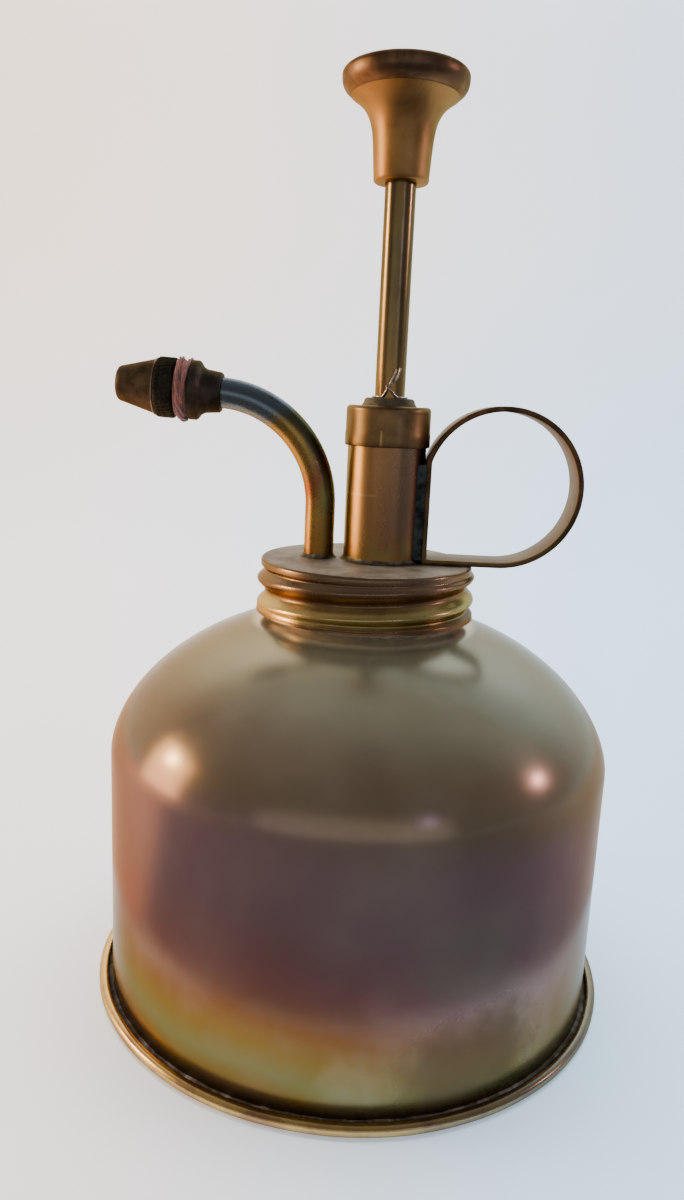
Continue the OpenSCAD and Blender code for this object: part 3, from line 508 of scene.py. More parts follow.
def heat_blued_spout():
    """Steel blue by the nozzle, then gold and orange, dark green along the top."""
    f = Finish("heat blued spout", film=True)
    drift = f.math("SUBTRACT", f.noise(170, 4, 0.6), 0.5)
    along = f.math("MULTIPLY_ADD", drift, 4 * MM,
                   f.math("SUBTRACT", f.z, f.math("MULTIPLY", f.x, 1.15)))
    low, high = LID_TOP + SPOUT_R * 3.2, MOUTH.z - MOUTH.x * 1.15
    reach = f.span(along, low, high)
    belly = f.ramp(reach, [
        (0.0, (0.58, 0.30, 0.10)), (0.10, (0.60, 0.42, 0.13)), (0.24, (0.50, 0.20, 0.10)),
        (0.36, (0.52, 0.38, 0.15)), (0.62, (0.60, 0.44, 0.15)), (0.76, (0.42, 0.34, 0.16)),
        (0.84, (0.24, 0.34, 0.47)), (1.0, (0.24, 0.34, 0.48))])
    back = f.ramp(reach, [
        (0.0, (0.42, 0.30, 0.10)), (0.12, (0.30, 0.34, 0.13)), (0.26, (0.16, 0.10, 0.08)),
        (0.45, (0.12, 0.14, 0.085)), (0.70, (0.14, 0.17, 0.12)), (0.82, (0.20, 0.29, 0.42)),
        (1.0, (0.22, 0.31, 0.45))])
    outer = f.math("ADD", f.math("MULTIPLY", f.facing_x, 0.8), f.math("MULTIPLY", f.facing_z, 0.55))
    outer = f.math("MULTIPLY_ADD", drift, 0.9, outer)
    tint = f.mix(f.span(outer, -0.25, 0.5), belly, back)
    flecks = f.noise(650, 4, 0.7)
    tint = f.mix(f.span(flecks, 0.60, 0.72, 0.0, 0.3), tint, (0.30, 0.31, 0.29))
    return f.done(tint, f.math("MULTIPLY_ADD", flecks, 0.16, 0.2), flecks, 0.1, 0.05 * MM)


def blackened(name, light, deep, ring_scale, gloss=0.34, grime=0.0):
    """Blackened turned brass; the lathe lines follow the nozzle's axis."""
    f = Finish(name)
    along = f.add("ShaderNodeVectorMath", {0: f.place, 1: tuple(NOZZLE_AXIS)},
                  operation="DOT_PRODUCT").outputs["Value"]
    line_place = f.add("ShaderNodeCombineXYZ",
                       {0: f.math("MULTIPLY", along, ring_scale)}).outputs[0]
    lines = f.noise(1, 3, 0.7, line_place)
    patina = f.noise(320, 5, 0.65)
    tint = f.mix(f.span(patina, 0.32, 0.70), deep, light)
    tint = f.mix(f.span(lines, 0.50, 0.72, 0.0, 0.45), tint, (0.19, 0.155, 0.11))
    if grime:
        tint = f.mix(f.span(f.noise(1500, 4, 0.7), 0.5, 0.66, 0.0, grime), tint,
                     (0.10, 0.10, 0.065))
    rough = f.math("MULTIPLY_ADD", patina, 0.2, gloss)
    relief = f.math("MULTIPLY_ADD", lines, 1.2, patina)
    return f.done(tint, rough, relief, 0.3, 0.05 * MM)


def worn_rod():
    """Rod worn smooth: dark bronze with faint gold and green tones."""
    f = Finish("worn rod", film=True)
    streak = f.noise(1, 4, 0.6, f.scaled(330, 30))
    cloud = f.noise(90, 4, 0.6)
    tint = f.ramp(f.math("ADD", f.math("MULTIPLY", streak, 0.6), f.math("MULTIPLY", cloud, 0.4)), [
        (0.32, (0.13, 0.11, 0.07)), (0.48, (0.26, 0.22, 0.13)), (0.60, (0.36, 0.27, 0.13)),
        (0.74, (0.30, 0.30, 0.17))])
    foot = f.span(f.z, BOSS_HI.z + 9 * MM, BOSS_HI.z + 1 * MM, 0.0, 0.45)
    tint = f.mix(foot, tint, (0.46, 0.28, 0.13))
    return f.done(tint, f.math("MULTIPLY_ADD", streak, 0.16, 0.15), streak, 0.1, 0.03 * MM)


def handled_trumpet():
    """Matte golden brown, a little darker towards the top, under the disc."""
    f = Finish("handled trumpet", film=True)
    cloud = f.noise(160, 5, 0.62, warp=0.5)
    tint = f.ramp(cloud, [
        (0.30, (0.34, 0.20, 0.09)), (0.50, (0.52, 0.33, 0.145)), (0.70, (0.60, 0.42, 0.20))])
    up = f.span(f.z, STEM_LO.z, STEM_HI.z)
    tint = f.mix(f.math("MULTIPLY", up, 0.25), tint, (0.40, 0.27, 0.13))
    lines = f.noise(1, 3, 0.6, f.scaled(50, 1500))
    rough = f.math("MULTIPLY_ADD", cloud, 0.16, 0.36)
    return f.done(tint, rough, f.math("MULTIPLY_ADD", lines, 1.2, f.noise(700, 3)), 0.16, 0.05 * MM)


def frayed_twine():
    """Dry red-brown fibre with paler broken threads."""
    c = colours()
    f = Finish("frayed twine", 0.0)
    fibre = f.noise(2600, 4, 0.7)
    patch = f.noise(420, 3, 0.6)
    tint = f.mix(f.span(patch, 0.35, 0.65), (0.12, 0.045, 0.035), c.twine)
    tint = f.mix(f.span(fibre, 0.55, 0.72, 0.0, 0.7), tint, (0.36, 0.155, 0.11))
    f.shader.inputs["Sheen Weight"].default_value = 0.15
    return f.done(tint, 0.92, fibre, 0.8, 0.1 * MM)


def strip_edge():
    """Dark brown edge of the strip with small bright nicks."""
    c = colours()
    f = Finish("strip edge", film=True)
    cloud = f.noise(210, 5, 0.65)
    tint = f.mix(f.span(cloud, 0.35, 0.7), (0.10, 0.068, 0.045), (0.28, 0.17, 0.10))
    low = f.math("SUBTRACT", 1.0, f.span(f.z, LID_TOP, LID_TOP + 9 * MM))
    tint = f.mix(f.math("MULTIPLY", low, 0.4), tint, (0.34, 0.27, 0.15))
    tint = f.mix(f.span(f.noise(900, 4, 0.7), 0.64, 0.74, 0.0, 0.6), tint, c.gold)
    return f.done(tint, f.math("MULTIPLY_ADD", cloud, 0.2, 0.3), cloud, 0.2, 0.06 * MM)


def strip_face():
    """Grey-beige dusty faces of the strip."""
    f = Finish("strip face", 0.6, film=True)
    cloud = f.noise(170, 6, 0.68)
    tint = f.ramp(cloud, [
        (0.30, (0.13, 0.10, 0.07)), (0.50, (0.25, 0.21, 0.155)), (0.70, (0.35, 0.315, 0.25))])
    return f.done(tint, f.math("MULTIPLY_ADD", cloud, 0.25, 0.36), f.noise(800, 4, 0.7), 0.3,
                  0.06 * MM)


def plain_metal(name, light, deep, rough, scale=240):
    f = Finish(name)
    cloud = f.noise(scale, 5, 0.62)
    tint = f.mix(f.span(cloud, 0.34, 0.68), deep, light)
    return f.done(tint, f.math("MULTIPLY_ADD", cloud, 0.18, rough), f.noise(900, 3, 0.6), 0.2,
                  0.05 * MM)


def soft_stuff(name, light, deep, scale, rough=0.8, depth=0.1):
    f = Finish(name, 0.0)
    weave = f.noise(scale, 5, 0.68)
    tint = f.mix(f.span(weave, 0.34, 0.66), deep, light)
    return f.done(tint, rough, weave, 0.6, depth * MM)


# ---------------------------------------------------------------- pieces

def dome_point(angle, inset=0.0):
    s = sizes()
    power = 2 / s.dome_fullness
    reach = BODY_R - inset - s.dome_core
    return (s.dome_core + reach * max(0.0, math.cos(angle)) ** power,
            s.wall_height + (s.dome_height - inset) * math.sin(angle) ** power)


def dome_angle(radius, inset=0.0):
    s = sizes()
    share = (radius - s.dome_core) / (BODY_R - inset - s.dome_core)
    return math.acos(share ** (s.dome_fullness / 2))


def thread_wave(point):
    """Height of the thread's wave at a point, from -1 to 1."""
    s = sizes()
    turn = math.atan2(point.y, point.x) / FULL_TURN - 0.75
    return math.cos(FULL_TURN * (turn - (point.z - s.thread_height) / s.thread_pitch))


def push_out(vert, distance):
    """Moves a vertex away from the Z axis."""
    flat = Vector((vert.co.x, vert.co.y, 0))
    if flat.length > 1e-9:
        vert.co += flat.normalized() * distance


class MISTER_OT_bottle(bpy.types.Operator):
    """Spin the bottle and roll the thread into its neck"""

    bl_idname = "mister.bottle"
    bl_label = "Bottle"
    bl_options = {"REGISTER", "UNDO"}

    def execute(self, context):
        s = sizes()
        crest = s.thread_depth / 2
        gap = 0.4 * MM
        bury = 0.1 * MM
        neck_sheet = 0.6 * MM
        root = s.lid_radius - s.skirt_thickness - gap - crest
        neck_r = root + bury
        bore = root - neck_sheet - bury
        wall_foot = PAN_LO.z + 0.8 * MM
        fillet_x = neck_r + s.neck_fillet
        inner, beyond = (dome_point(dome_angle(fillet_x + step)) for step in (0.0, MM))
        slope = math.atan((inner[1] - beyond[1]) / MM)
        fillet_z = inner[1] + s.neck_fillet / math.cos(slope)
        low, high = fillet_z + 0.5 * MM, BOTTLE_HI.z
        last = dome_angle(fillet_x - s.neck_fillet * math.sin(slope))
        rows = 44
        outline = [(BODY_R, wall_foot)]
        outline += [(BODY_R, wall_foot + (s.wall_height - wall_foot) * i / 10)
                    for i in range(1, 10)]
        outline += [dome_point(last * i / 40) for i in range(41)]
        outline += arc((fillet_x, fillet_z), s.neck_fillet, 270 - math.degrees(slope), 180, 8)[1:]
        outline += [(neck_r, low)]
        outline += [(neck_r, low + (high - 0.3 * MM - low) * i / rows) for i in range(1, rows + 1)]
        outline += arc((neck_r - 0.3 * MM, high - 0.3 * MM), 0.3 * MM, 0, 90, 4)[1:]
        outline += [(bore + 0.15 * MM, high), (bore, high - 0.2 * MM)]
        outline += [(bore, high + (low - high) * i / rows) for i in range(1, rows + 1)]
        outline += [dome_point(dome_angle(bore, s.wall_thickness) * (1 - i / 24), s.wall_thickness)
                    for i in range(25)]
        outline += [(BODY_R - s.wall_thickness, wall_foot)]
        bm = bmesh.new()
        turned(bm, outline, steps=160, closed=True)
        for vert in bm.verts:
            z = vert.co.z
            radius = math.hypot(vert.co.x, vert.co.y)
            if low < z < high and radius < neck_r + bury:
                run_in = smooth_step(z, low - 0.2 * MM, low + s.thread_pitch / 4)
                run_out = 1 - smooth_step(z, high - 0.7 * MM - s.thread_pitch / 4, high - 0.6 * MM)
                lift = crest * (1 + thread_wave(vert.co)) * run_in * run_out
                push_out(vert, lift)
        eased(bm, 0.12 * MM, 60)
        piece(bm, "spun_bottle", "bottle", "spun_brass", [heat_tinted_bottle()], "bottle_shell")
        return {"FINISHED"}


class MISTER_OT_base(bpy.types.Operator):
    """Roll the base pan with its bead and run solder into the groove"""

    bl_idname = "mister.base"
    bl_label = "Base pan"
    bl_options = {"REGISTER", "UNDO"}

    def execute(self, context):
        s = sizes()
        bead_x = PAN_HI.x - s.bead_radius
        bead_z = PAN_HI.z - s.bead_radius
        floor_r = bead_x - s.bead_radius * 0.6
        pan = 0.8 * MM
        outline = [(0, PAN_LO.z), (floor_r - 6 * MM, PAN_LO.z), (floor_r, PAN_LO.z)]
        outline += arc((bead_x, bead_z), s.bead_radius, 233, 488, 30)
        outline += [(floor_r, pan), (floor_r - 6 * MM, pan), (0, pan)]
        bm = bmesh.new()
        turned(bm, outline, steps=192)
        for vert in bm.verts:
            if math.hypot(vert.co.x, vert.co.y) > floor_r + 0.1 * MM:
                turn = math.atan2(vert.co.y, vert.co.x)
                wave = math.sin(turn * 9 + 1.3) * 0.5 + math.sin(turn * 23 + 0.4) * 0.3
                push_out(vert, -0.05 * MM + wave * 0.05 * MM)
                if vert.co.z > bead_z:
                    vert.co.z += (math.sin(turn * 14) + math.sin(turn * 5 + 2)) * 0.02 * MM
        piece(bm, "rolled_base", "bottle", "rim_brass", [rubbed_rim()], "base_pan")

        bm = bmesh.new()
        wall = BODY_R + FIT
        turned(bm, [(wall, pan), (floor_r + FIT, pan), (floor_r + FIT, pan + 0.12 * MM),
                    (floor_r - 0.2 * MM, pan + 0.45 * MM), (floor_r - 0.45 * MM, pan + 0.65 * MM),
                    (wall + 0.25 * MM, pan + 0.75 * MM), (wall, pan + 0.9 * MM)],
               steps=320, closed=True)
        for vert in bm.verts:
            if vert.co.z > pan + 0.3 * MM:
                turn = math.atan2(vert.co.y, vert.co.x)
                lump = (math.sin(turn * 61 + 3 * math.sin(turn * 7)) * 0.5
                        + math.sin(turn * 137 + 1) * 0.35 + math.sin(turn * 17) * 0.4)
                vert.co.z += (lump * 0.12 - 0.05) * MM
        piece(bm, "seam_solder", "bottle", "solder", [groove_solder()], "base_seam")
        return {"FINISHED"}


class MISTER_OT_lid(bpy.types.Operator):
    """Spin the screw lid and roll the thread into its skirt"""

    bl_idname = "mister.lid"
    bl_label = "Lid"
    bl_options = {"REGISTER", "UNDO"}

    def execute(self, context):
        s = sizes()
        crest = s.thread_depth / 2
        hem = 0.35 * MM
        bury = 0.1 * MM
        round_r = 0.7 * MM
        plate = LID_TOP - s.plate_thickness
        low, high = LID_LO.z + hem, plate - 0.4 * MM
        r_out, r_in = s.lid_radius + bury, s.lid_radius - s.skirt_thickness - bury
        rows = 60
        outline = [(0, plate), (r_in - 4 * MM, plate), (r_in, plate)]
        outline += [(r_in, high + (low - high) * i / rows) for i in range(1, rows + 1)]
        outline += [(s.lid_radius, low - hem * 0.8)]
        outline += [(r_out, low + (high - low) * i / rows) for i in range(rows + 1)]
        outline += arc((r_out - round_r, LID_TOP - round_r), round_r, 0, 90, 8)
        outline += [(r_out - 3 * MM, LID_TOP - 0.02 * MM), (6 * MM, LID_TOP), (0, LID_TOP)]
        bm = bmesh.new()
        turned(bm, outline, steps=192)
        for vert in bm.verts:
            z = vert.co.z
            radius = math.hypot(vert.co.x, vert.co.y)
            if radius > r_in - 0.05 * MM and z < plate - 0.3 * MM:
                fade = 1 - smooth_step(z, plate - 0.4 * MM - s.thread_pitch / 4, plate - 0.6 * MM)
                start = smooth_step(z, low + hem, low + hem + s.thread_pitch / 4)
                push_out(vert, fade * (crest - crest * (1 - thread_wave(vert.co)) * start)
                         - bury * (1 if radius > s.lid_radius else -1) * fade)
        for vert in bm.verts:
            if vert.co.z > LID_TOP - 0.1 * MM:
                turn = math.atan2(vert.co.y, vert.co.x)
                radius = math.hypot(vert.co.x, vert.co.y)
                vert.co.z -= 0.04 * MM * (1 + math.sin(turn * 3 + 1)) * radius / s.lid_radius
        eased(bm, 0.1 * MM, 70)
        obj = piece(bm, "threaded_lid", "lid", "lid_brass", [aged_lid()], "lid_cap")
        gap = 0.03 * MM
        self.drill(obj, Vector((PUMP_X, 0, LID_TOP)), BARREL_R + gap)
        self.drill(obj, Vector((SPOUT_X, 0, LID_TOP)), SPOUT_R + gap)
        self.drill(obj, Vector((PUMP_X, BARREL_R + 2.6 * MM, LID_TOP)), 0.6 * MM)
        return {"FINISHED"}

    @staticmethod
    def drill(obj, place, radius):
        """Cuts a round hole through the top plate."""
        bm = bmesh.new()
        bmesh.ops.create_cone(bm, cap_ends=True, segments=96, radius1=radius, radius2=radius,
                              depth=3 * MM, matrix=Matrix.Translation(place))
        tool = linked(bm, "drill")
        cut = obj.modifiers.new("hole", "BOOLEAN")
        cut.operation, cut.object, cut.solver = "DIFFERENCE", tool, "EXACT"
        graph = bpy.context.evaluated_depsgraph_get()
        graph.update()
        cut_mesh = bpy.data.meshes.new_from_object(obj.evaluated_get(graph))
        obj.modifiers.clear()
        obj.data = cut_mesh
        bpy.data.objects.remove(tool)


class MISTER_OT_pump(bpy.types.Operator):
    """Turn the barrel, its cap and the gland bush, and twist the tie wire"""

    bl_idname = "mister.pump"
    bl_label = "Pump"
    bl_options = {"REGISTER", "UNDO"}

    def execute(self, context):
        c = colours()
        at = Vector((PUMP_X, 0, 0))
        bore = BARREL_R - 0.7 * MM
        bm = bmesh.new()
        outline = [(BARREL_R, BARREL_LO.z + (BARREL_HI.z - BARREL_LO.z) * i / 12)
                   for i in range(13)]
        outline += [(bore, BARREL_HI.z - (BARREL_HI.z - BARREL_LO.z) * i / 12) for i in range(13)]
        turned(bm, outline, at, steps=96, closed=True)
        piece(bm, "barrel_tube", "lid", "tube_brass", [stained_barrel()], "pump_barrel")

        bm = bmesh.new()
        plate = 1.7 * MM
        spigot = 3.92 * MM
        seat = BARREL_R + FIT
        step = 0.08 * MM
        outline = [(seat, CAP_LO.z), (CAP_R - 0.22 * MM, CAP_LO.z),
                   (CAP_R - 0.04 * MM, CAP_LO.z + 0.08 * MM),
                   (CAP_R, CAP_LO.z + 0.25 * MM), (CAP_R, CAP_LO.z + 2.2 * MM),
                   (CAP_R - step, CAP_LO.z + 2.5 * MM), (CAP_R - step, CAP_HI.z - 0.9 * MM)]
        outline += arc((CAP_R - step - 0.75 * MM, CAP_HI.z - 0.75 * MM), 0.75 * MM, 0, 90, 8)[1:]
        outline += [(spigot + 1.2 * MM, CAP_HI.z), (spigot, CAP_HI.z), (spigot, CAP_HI.z - plate),
                    (seat, CAP_HI.z - plate)]
        turned(bm, outline, at, steps=128, closed=True)
        for vert in bm.verts:
            turn = math.atan2(vert.co.y, vert.co.x - PUMP_X)
            if vert.co.z < CAP_LO.z + 0.3 * MM:
                vert.co.z += 0.05 * MM * (1 + math.sin(turn * 5 + 1.1) * 0.6)
        piece(bm, "staked_cap", "lid", "lid_brass", [self.cap_finish()], "barrel_cap")

        bm = bmesh.new()
        gland = ROD_R + 0.05 * MM
        foot, top = 4.7 * MM, 4.3 * MM
        outline = [(gland, BOSS_HI.z - 0.25 * MM), (gland + 0.25 * MM, BOSS_HI.z),
                   (top - 0.35 * MM, BOSS_HI.z), (top - 0.05 * MM, BOSS_HI.z - 0.3 * MM),
                   (top + 0.12 * MM, CAP_HI.z + 0.45 * MM), (foot, CAP_HI.z),
                   (3.9 * MM, CAP_HI.z - 0.01 * MM), (3.9 * MM, CAP_HI.z - plate),
                   (gland, CAP_HI.z - plate)]
        turned(bm, outline, at, steps=96, closed=True)
        boss = satin_bronze("dusty gland", (0.24, 0.215, 0.15), (0.12, 0.10, 0.065), 300, 0.36, 0.8)
        piece(bm, "gland_nut", "lid", "lid_brass", [boss], "gland_bush", crease=30)

        self.foot_solder(at, BARREL_R, "barrel_foot_solder", "barrel_solder", cut_beyond=6.6 * MM)
        self.foot_solder(Vector((SPOUT_X, 0, 0)), SPOUT_R, "spout_foot_solder", "spout_solder")
        self.tie(at, plain_metal("bright wire", c.wire, (0.45, 0.36, 0.28), 0.16, 1200))
        return {"FINISHED"}

    @staticmethod
    def cap_finish():
        """Brown satin cap with one light staking line at the front."""
        c = colours()
        f = Finish("staked cap", film=True)
        patina = f.noise(150, 5, 0.62, warp=0.6)
        tint = f.mix(f.span(patina, 0.34, 0.68), (0.22, 0.16, 0.09), (0.37, 0.27, 0.15))
        # Painted light: the left side of the cap is lighter.
        left = f.span(f.x, PUMP_X - 2 * MM, PUMP_X - 6 * MM, 0.0, 0.4)
        tint = f.mix(left, tint, (0.46, 0.36, 0.20))
        line_x = f.math("ABSOLUTE", f.math("SUBTRACT", f.x, PUMP_X - 1.15 * MM))
        line = f.math("MULTIPLY", f.span(line_x, 0.24 * MM, 0.10 * MM),
                      f.span(f.z, CAP_LO.z + 2.9 * MM, CAP_LO.z + 2.5 * MM))
        line = f.math("MULTIPLY", line, f.span(f.y, 0.0, -2 * MM))
        tint = f.mix(f.math("MULTIPLY", line, 0.9), tint, (0.72, 0.50, 0.24))
        low_band = f.span(f.z, CAP_LO.z + 0.7 * MM, CAP_LO.z, 0.0, 0.6)
        tint = f.mix(low_band, tint, c.dark)
        top = f.span(f.facing_z, 0.6, 0.95, 0.0, 0.6)
        tint = f.mix(top, tint, c.dust)
        rough = f.math("MULTIPLY_ADD", patina, 0.18, 0.27)
        relief = f.math("MULTIPLY_ADD", line, -3.0, f.noise(1, 3, 0.6, f.scaled(60, 1700)))
        return f.done(tint, rough, relief, 0.18, 0.06 * MM)

    @staticmethod
    def foot_solder(at, radius, name, node, cut_beyond=None):
        """A lumpy solder fillet round a tube on the lid, cut open where the ring stands."""
        inner = radius + FIT
        bm = bmesh.new()
        turned(bm, [(inner, LID_TOP), (radius + 0.7 * MM, LID_TOP),
                    (radius + 0.4 * MM, LID_TOP + 0.14 * MM),
                    (radius + 0.2 * MM, LID_TOP + 0.32 * MM), (inner, LID_TOP + 0.7 * MM)],
               at, steps=96, closed=True)
        for vert in bm.verts:
            turn = math.atan2(vert.co.y, vert.co.x - at.x)
            if LID_TOP + 0.05 * MM < vert.co.z:
                vert.co.z += 0.07 * MM * math.sin(turn * 11 + 2 * math.sin(turn * 3))
        if cut_beyond:
            half_strip = sizes().strip_width / 2
            gone = [v for v in bm.verts if v.co.x - at.x > cut_beyond and abs(v.co.y) < half_strip]
            bmesh.ops.delete(bm, geom=gone, context="VERTS")
            bmesh.ops.holes_fill(bm, edges=[e for e in bm.edges if e.is_boundary], sides=12)
        finish = bpy.data.materials.get("foot solder") or plain_metal(
            "foot solder", (0.26, 0.25, 0.20), (0.08, 0.07, 0.05), 0.42, 420)
        piece(bm, name, "lid", "solder", [finish], node, crease=60)

    @staticmethod
    def tie(at, finish):
        """One wire round the rod, its ends twisted and standing up in a fork."""
        wire_r = 0.17 * MM
        loop = ROD_R + 0.37 * MM
        twisted = [(1.5, 0.5, 4.9), (0.95, 0.4, 3), (0.5, 0.2, 2.6), (-0.2, 0, 2.3),
                   (-0.75, 0.4, 1.9), (-0.44, 0.8, 1.6), (0.5, 0.3, 0.9)]
        plain = [(-0.5, 0.35, 1.4), (0.9, 0.4, 4.7)]
        path = [Vector((x * MM, -loop - y * MM, z * MM)) for x, y, z in twisted]
        for i in range(40):
            a = math.radians(-68 + 8 * i)
            path.append(Vector((loop * math.cos(a), loop * math.sin(a), wire_r)))
        path += [Vector((x * MM, -loop - y * MM, z * MM)) for x, y, z in plain]
        base = at + Z * BOSS_HI.z
        bm = bmesh.new()
        swept(bm, [p + base for p in softened(path)], wire_r, 10,
              outward=lambda p: Vector((p.x - at.x, p.y, 0)))
        piece(bm, "twisted_wire", "lid", "wire", [finish], "tie_wire", crease=60)


class MISTER_OT_ring(bpy.types.Operator):
    """Bend the finger ring from one strip and ease its edges"""

    bl_idname = "mister.ring"
    bl_label = "Finger ring"
    bl_options = {"REGISTER", "UNDO"}

    def execute(self, context):
        s = sizes()
        t = s.strip_thickness
        ring_r = (RING_HI.z - LID_TOP) / 2
        centre = Vector((RING_HI.x - ring_r, 0, LID_TOP + ring_r))
        mid = ring_r - t / 2
        wall_x, floor_z = RING_LO.x + t / 2, LID_TOP + t / 2
        top_angle = math.pi - math.acos((centre.x - wall_x) / mid)
        leg_top = centre.z + mid * math.sin(top_angle)
        flat = [(centre.x + (wall_x - centre.x) * i / 8, floor_z) for i in range(9)]
        upright = [(wall_x, floor_z + (leg_top - floor_z) * i / 12) for i in range(1, 13)]
        bow = arc((centre.x, centre.z), mid, math.degrees(top_angle), -90, 84)[1:-1]
        path = [Vector((x, 0, z)) for x, z in flat + upright + bow]
        bm = bmesh.new()
        front = [bm.verts.new(p - Y * s.strip_width / 2) for p in path]
        loop = [bm.edges.new(pair) for pair in zip(front, front[1:] + front[:1])]
        out = bmesh.ops.extrude_edge_only(bm, edges=loop)["geom"]
        bmesh.ops.translate(bm, vec=Y * s.strip_width,
                            verts=[g for g in out if isinstance(g, bmesh.types.BMVert)])
        bmesh.ops.recalc_face_normals(bm, faces=bm.faces)
        bmesh.ops.solidify(bm, geom=bm.faces[:], thickness=t / 2)
        bmesh.ops.remove_doubles(bm, verts=bm.verts, dist=1e-7)
        self.centre_wall(bm, path, t)
        eased(bm, 0.16 * MM, 50, 2)
        bm.normal_update()
        for face in bm.faces:
            face.material_index = 0 if abs(face.normal.y) > 0.35 else 1
        piece(bm, "finger_strip", "lid", "strip_brass", [strip_edge(), strip_face()], "finger_ring")

        lamp_black = plain_metal("burnt solder", (0.075, 0.10, 0.105), (0.012, 0.014, 0.015), 0.36,
                                 420)
        paint("ring_solder", lamp_black)
        return {"FINISHED"}

    @staticmethod
    def centre_wall(bm, path, t):
        """Moves the two faces of the wall to lie evenly about the path."""
        count = len(path)
        for vert in bm.verts:
            flat = Vector((vert.co.x, 0, vert.co.z))
            near = min(range(count), key=lambda i: (path[i] - flat).length_squared)
            a, b, d = path[near - 1], path[near], path[(near + 1) % count]
            ahead, behind = (d - b).normalized(), (b - a).normalized()
            out = Vector((ahead.z + behind.z, 0, -ahead.x - behind.x)).normalized()
            half = t / 2 / max(0.5, out.dot(Vector((ahead.z, 0, -ahead.x))))
            side = 1 if (flat - b).dot(out) > 1e-6 else -1
            place = b + out * half * side
            vert.co.x, vert.co.z = place.x, place.z


class MISTER_OT_spout(bpy.types.Operator):
    """Bend the spout tube and turn the nozzle's socket"""

    bl_idname = "mister.spout"
    bl_label = "Spout"
    bl_options = {"REGISTER", "UNDO"}

    def execute(self, context):
        s = sizes()
        tilt = math.asin(NOZZLE_AXIS.z)
        bend = math.pi / 2 - tilt
        centre = Vector((SPOUT_X - s.bend_radius, 0, MOUTH.z - s.bend_radius * math.sin(bend)))
        path = [Vector((SPOUT_X, 0, SPOUT_LO.z)), Vector((SPOUT_X, 0, LID_TOP))]
        path += [centre + s.bend_radius * Vector((math.cos(bend * i / 32), 0,
                                                  math.sin(bend * i / 32)))
                 for i in range(33)]
        path += [MOUTH + NOZZLE_AXIS * 4.6 * MM]
        bm = bmesh.new()
        swept(bm, path, SPOUT_R, 48)
        piece(bm, "bent_spout", "lid", "tube_brass", [heat_blued_spout()], "spout_tube", crease=60)

        collar = 5.0 * MM
        spigot = 3.6 * MM
        bore = SPOUT_R + FIT
        end = 10.3 * MM
        outline = [(bore, -FIT), (SPOUT_R + 0.55 * MM, 0.0), (SPOUT_R + 0.78 * MM, 0.25 * MM),
                   (SPOUT_R + 0.85 * MM, 0.7 * MM), (collar - 1.32 * MM, 2.7 * MM),
                   (collar - 0.95 * MM, 3.35 * MM),
                   (collar - 0.45 * MM, 3.7 * MM), (collar - 0.1 * MM, 3.95 * MM),
                   (collar, 4.2 * MM),
                   (collar, 5.25 * MM), (collar - 0.12 * MM, 5.4 * MM), (spigot, 5.4 * MM)]
        outline += [(spigot - (0.16 * MM if i % 2 else 0), (5.6 + i * 0.235) * MM)
                    for i in range(1, 20)]
        outline += [(spigot - 0.3 * MM, end), (1.9 * MM, end), (1.9 * MM, 4.6 * MM),
                    (bore, 4.6 * MM)]
        bm = bmesh.new()
        turned(bm, outline, MOUTH, NOZZLE_AXIS, Y, 112, closed=True)
        dull = blackened("dull coupling", (0.105, 0.088, 0.068), (0.045, 0.04, 0.035), 2600, 0.4)
        piece(bm, "socket_cone", "lid", "black_brass", [dull], "nozzle_socket", crease=34)
        self.twine(collar)
        return {"FINISHED"}

    @staticmethod
    def twine(collar):
        """Three crossing turns of two-ply twine, with a loose end."""
        up = NOZZLE_AXIS.cross(Y).normalized()
        bm = bmesh.new()
        strand = 0.30 * MM
        ply = 0.19 * MM
        steps = 260
        turns = 3.35
        for phase in (0.0, math.pi):
            path = []
            for i in range(steps + 1):
                u = i / steps
                a = FULL_TURN * turns * u + 2.2
                along = (6.35 * MM + 0.62 * MM * math.sin(u * 9.4 + 0.7)
                         + 0.22 * MM * math.sin(a * 1.5 + 1))
                lift = collar - 0.02 * MM + 0.20 * MM * math.sin(u * 14 + 0.8) * math.sin(a * 0.5)
                spin = u * 150 + phase
                radius = lift + ply * math.cos(spin)
                path.append(MOUTH + NOZZLE_AXIS * (along + ply * math.sin(spin))
                            + (Y * math.cos(a) + up * math.sin(a)) * radius)
            swept(bm, path, strand * 0.8, 8, outward=lambda p: p - MOUTH - NOZZLE_AXIS * 6 * MM)
        inner = 3.62 * MM
        turned(bm, [(inner, 5.42 * MM), (collar - 0.45 * MM, 5.42 * MM),
                    (collar - 0.3 * MM, 5.8 * MM),
                    (collar - 0.3 * MM, 7.3 * MM), (collar - 0.45 * MM, 7.68 * MM),
                    (inner, 7.68 * MM)],
               MOUTH, NOZZLE_AXIS, Y, 72, closed=True)
        piece(bm, "twine_turns", "lid", "twine", [frayed_twine()], "sealing_twine", crease=70)


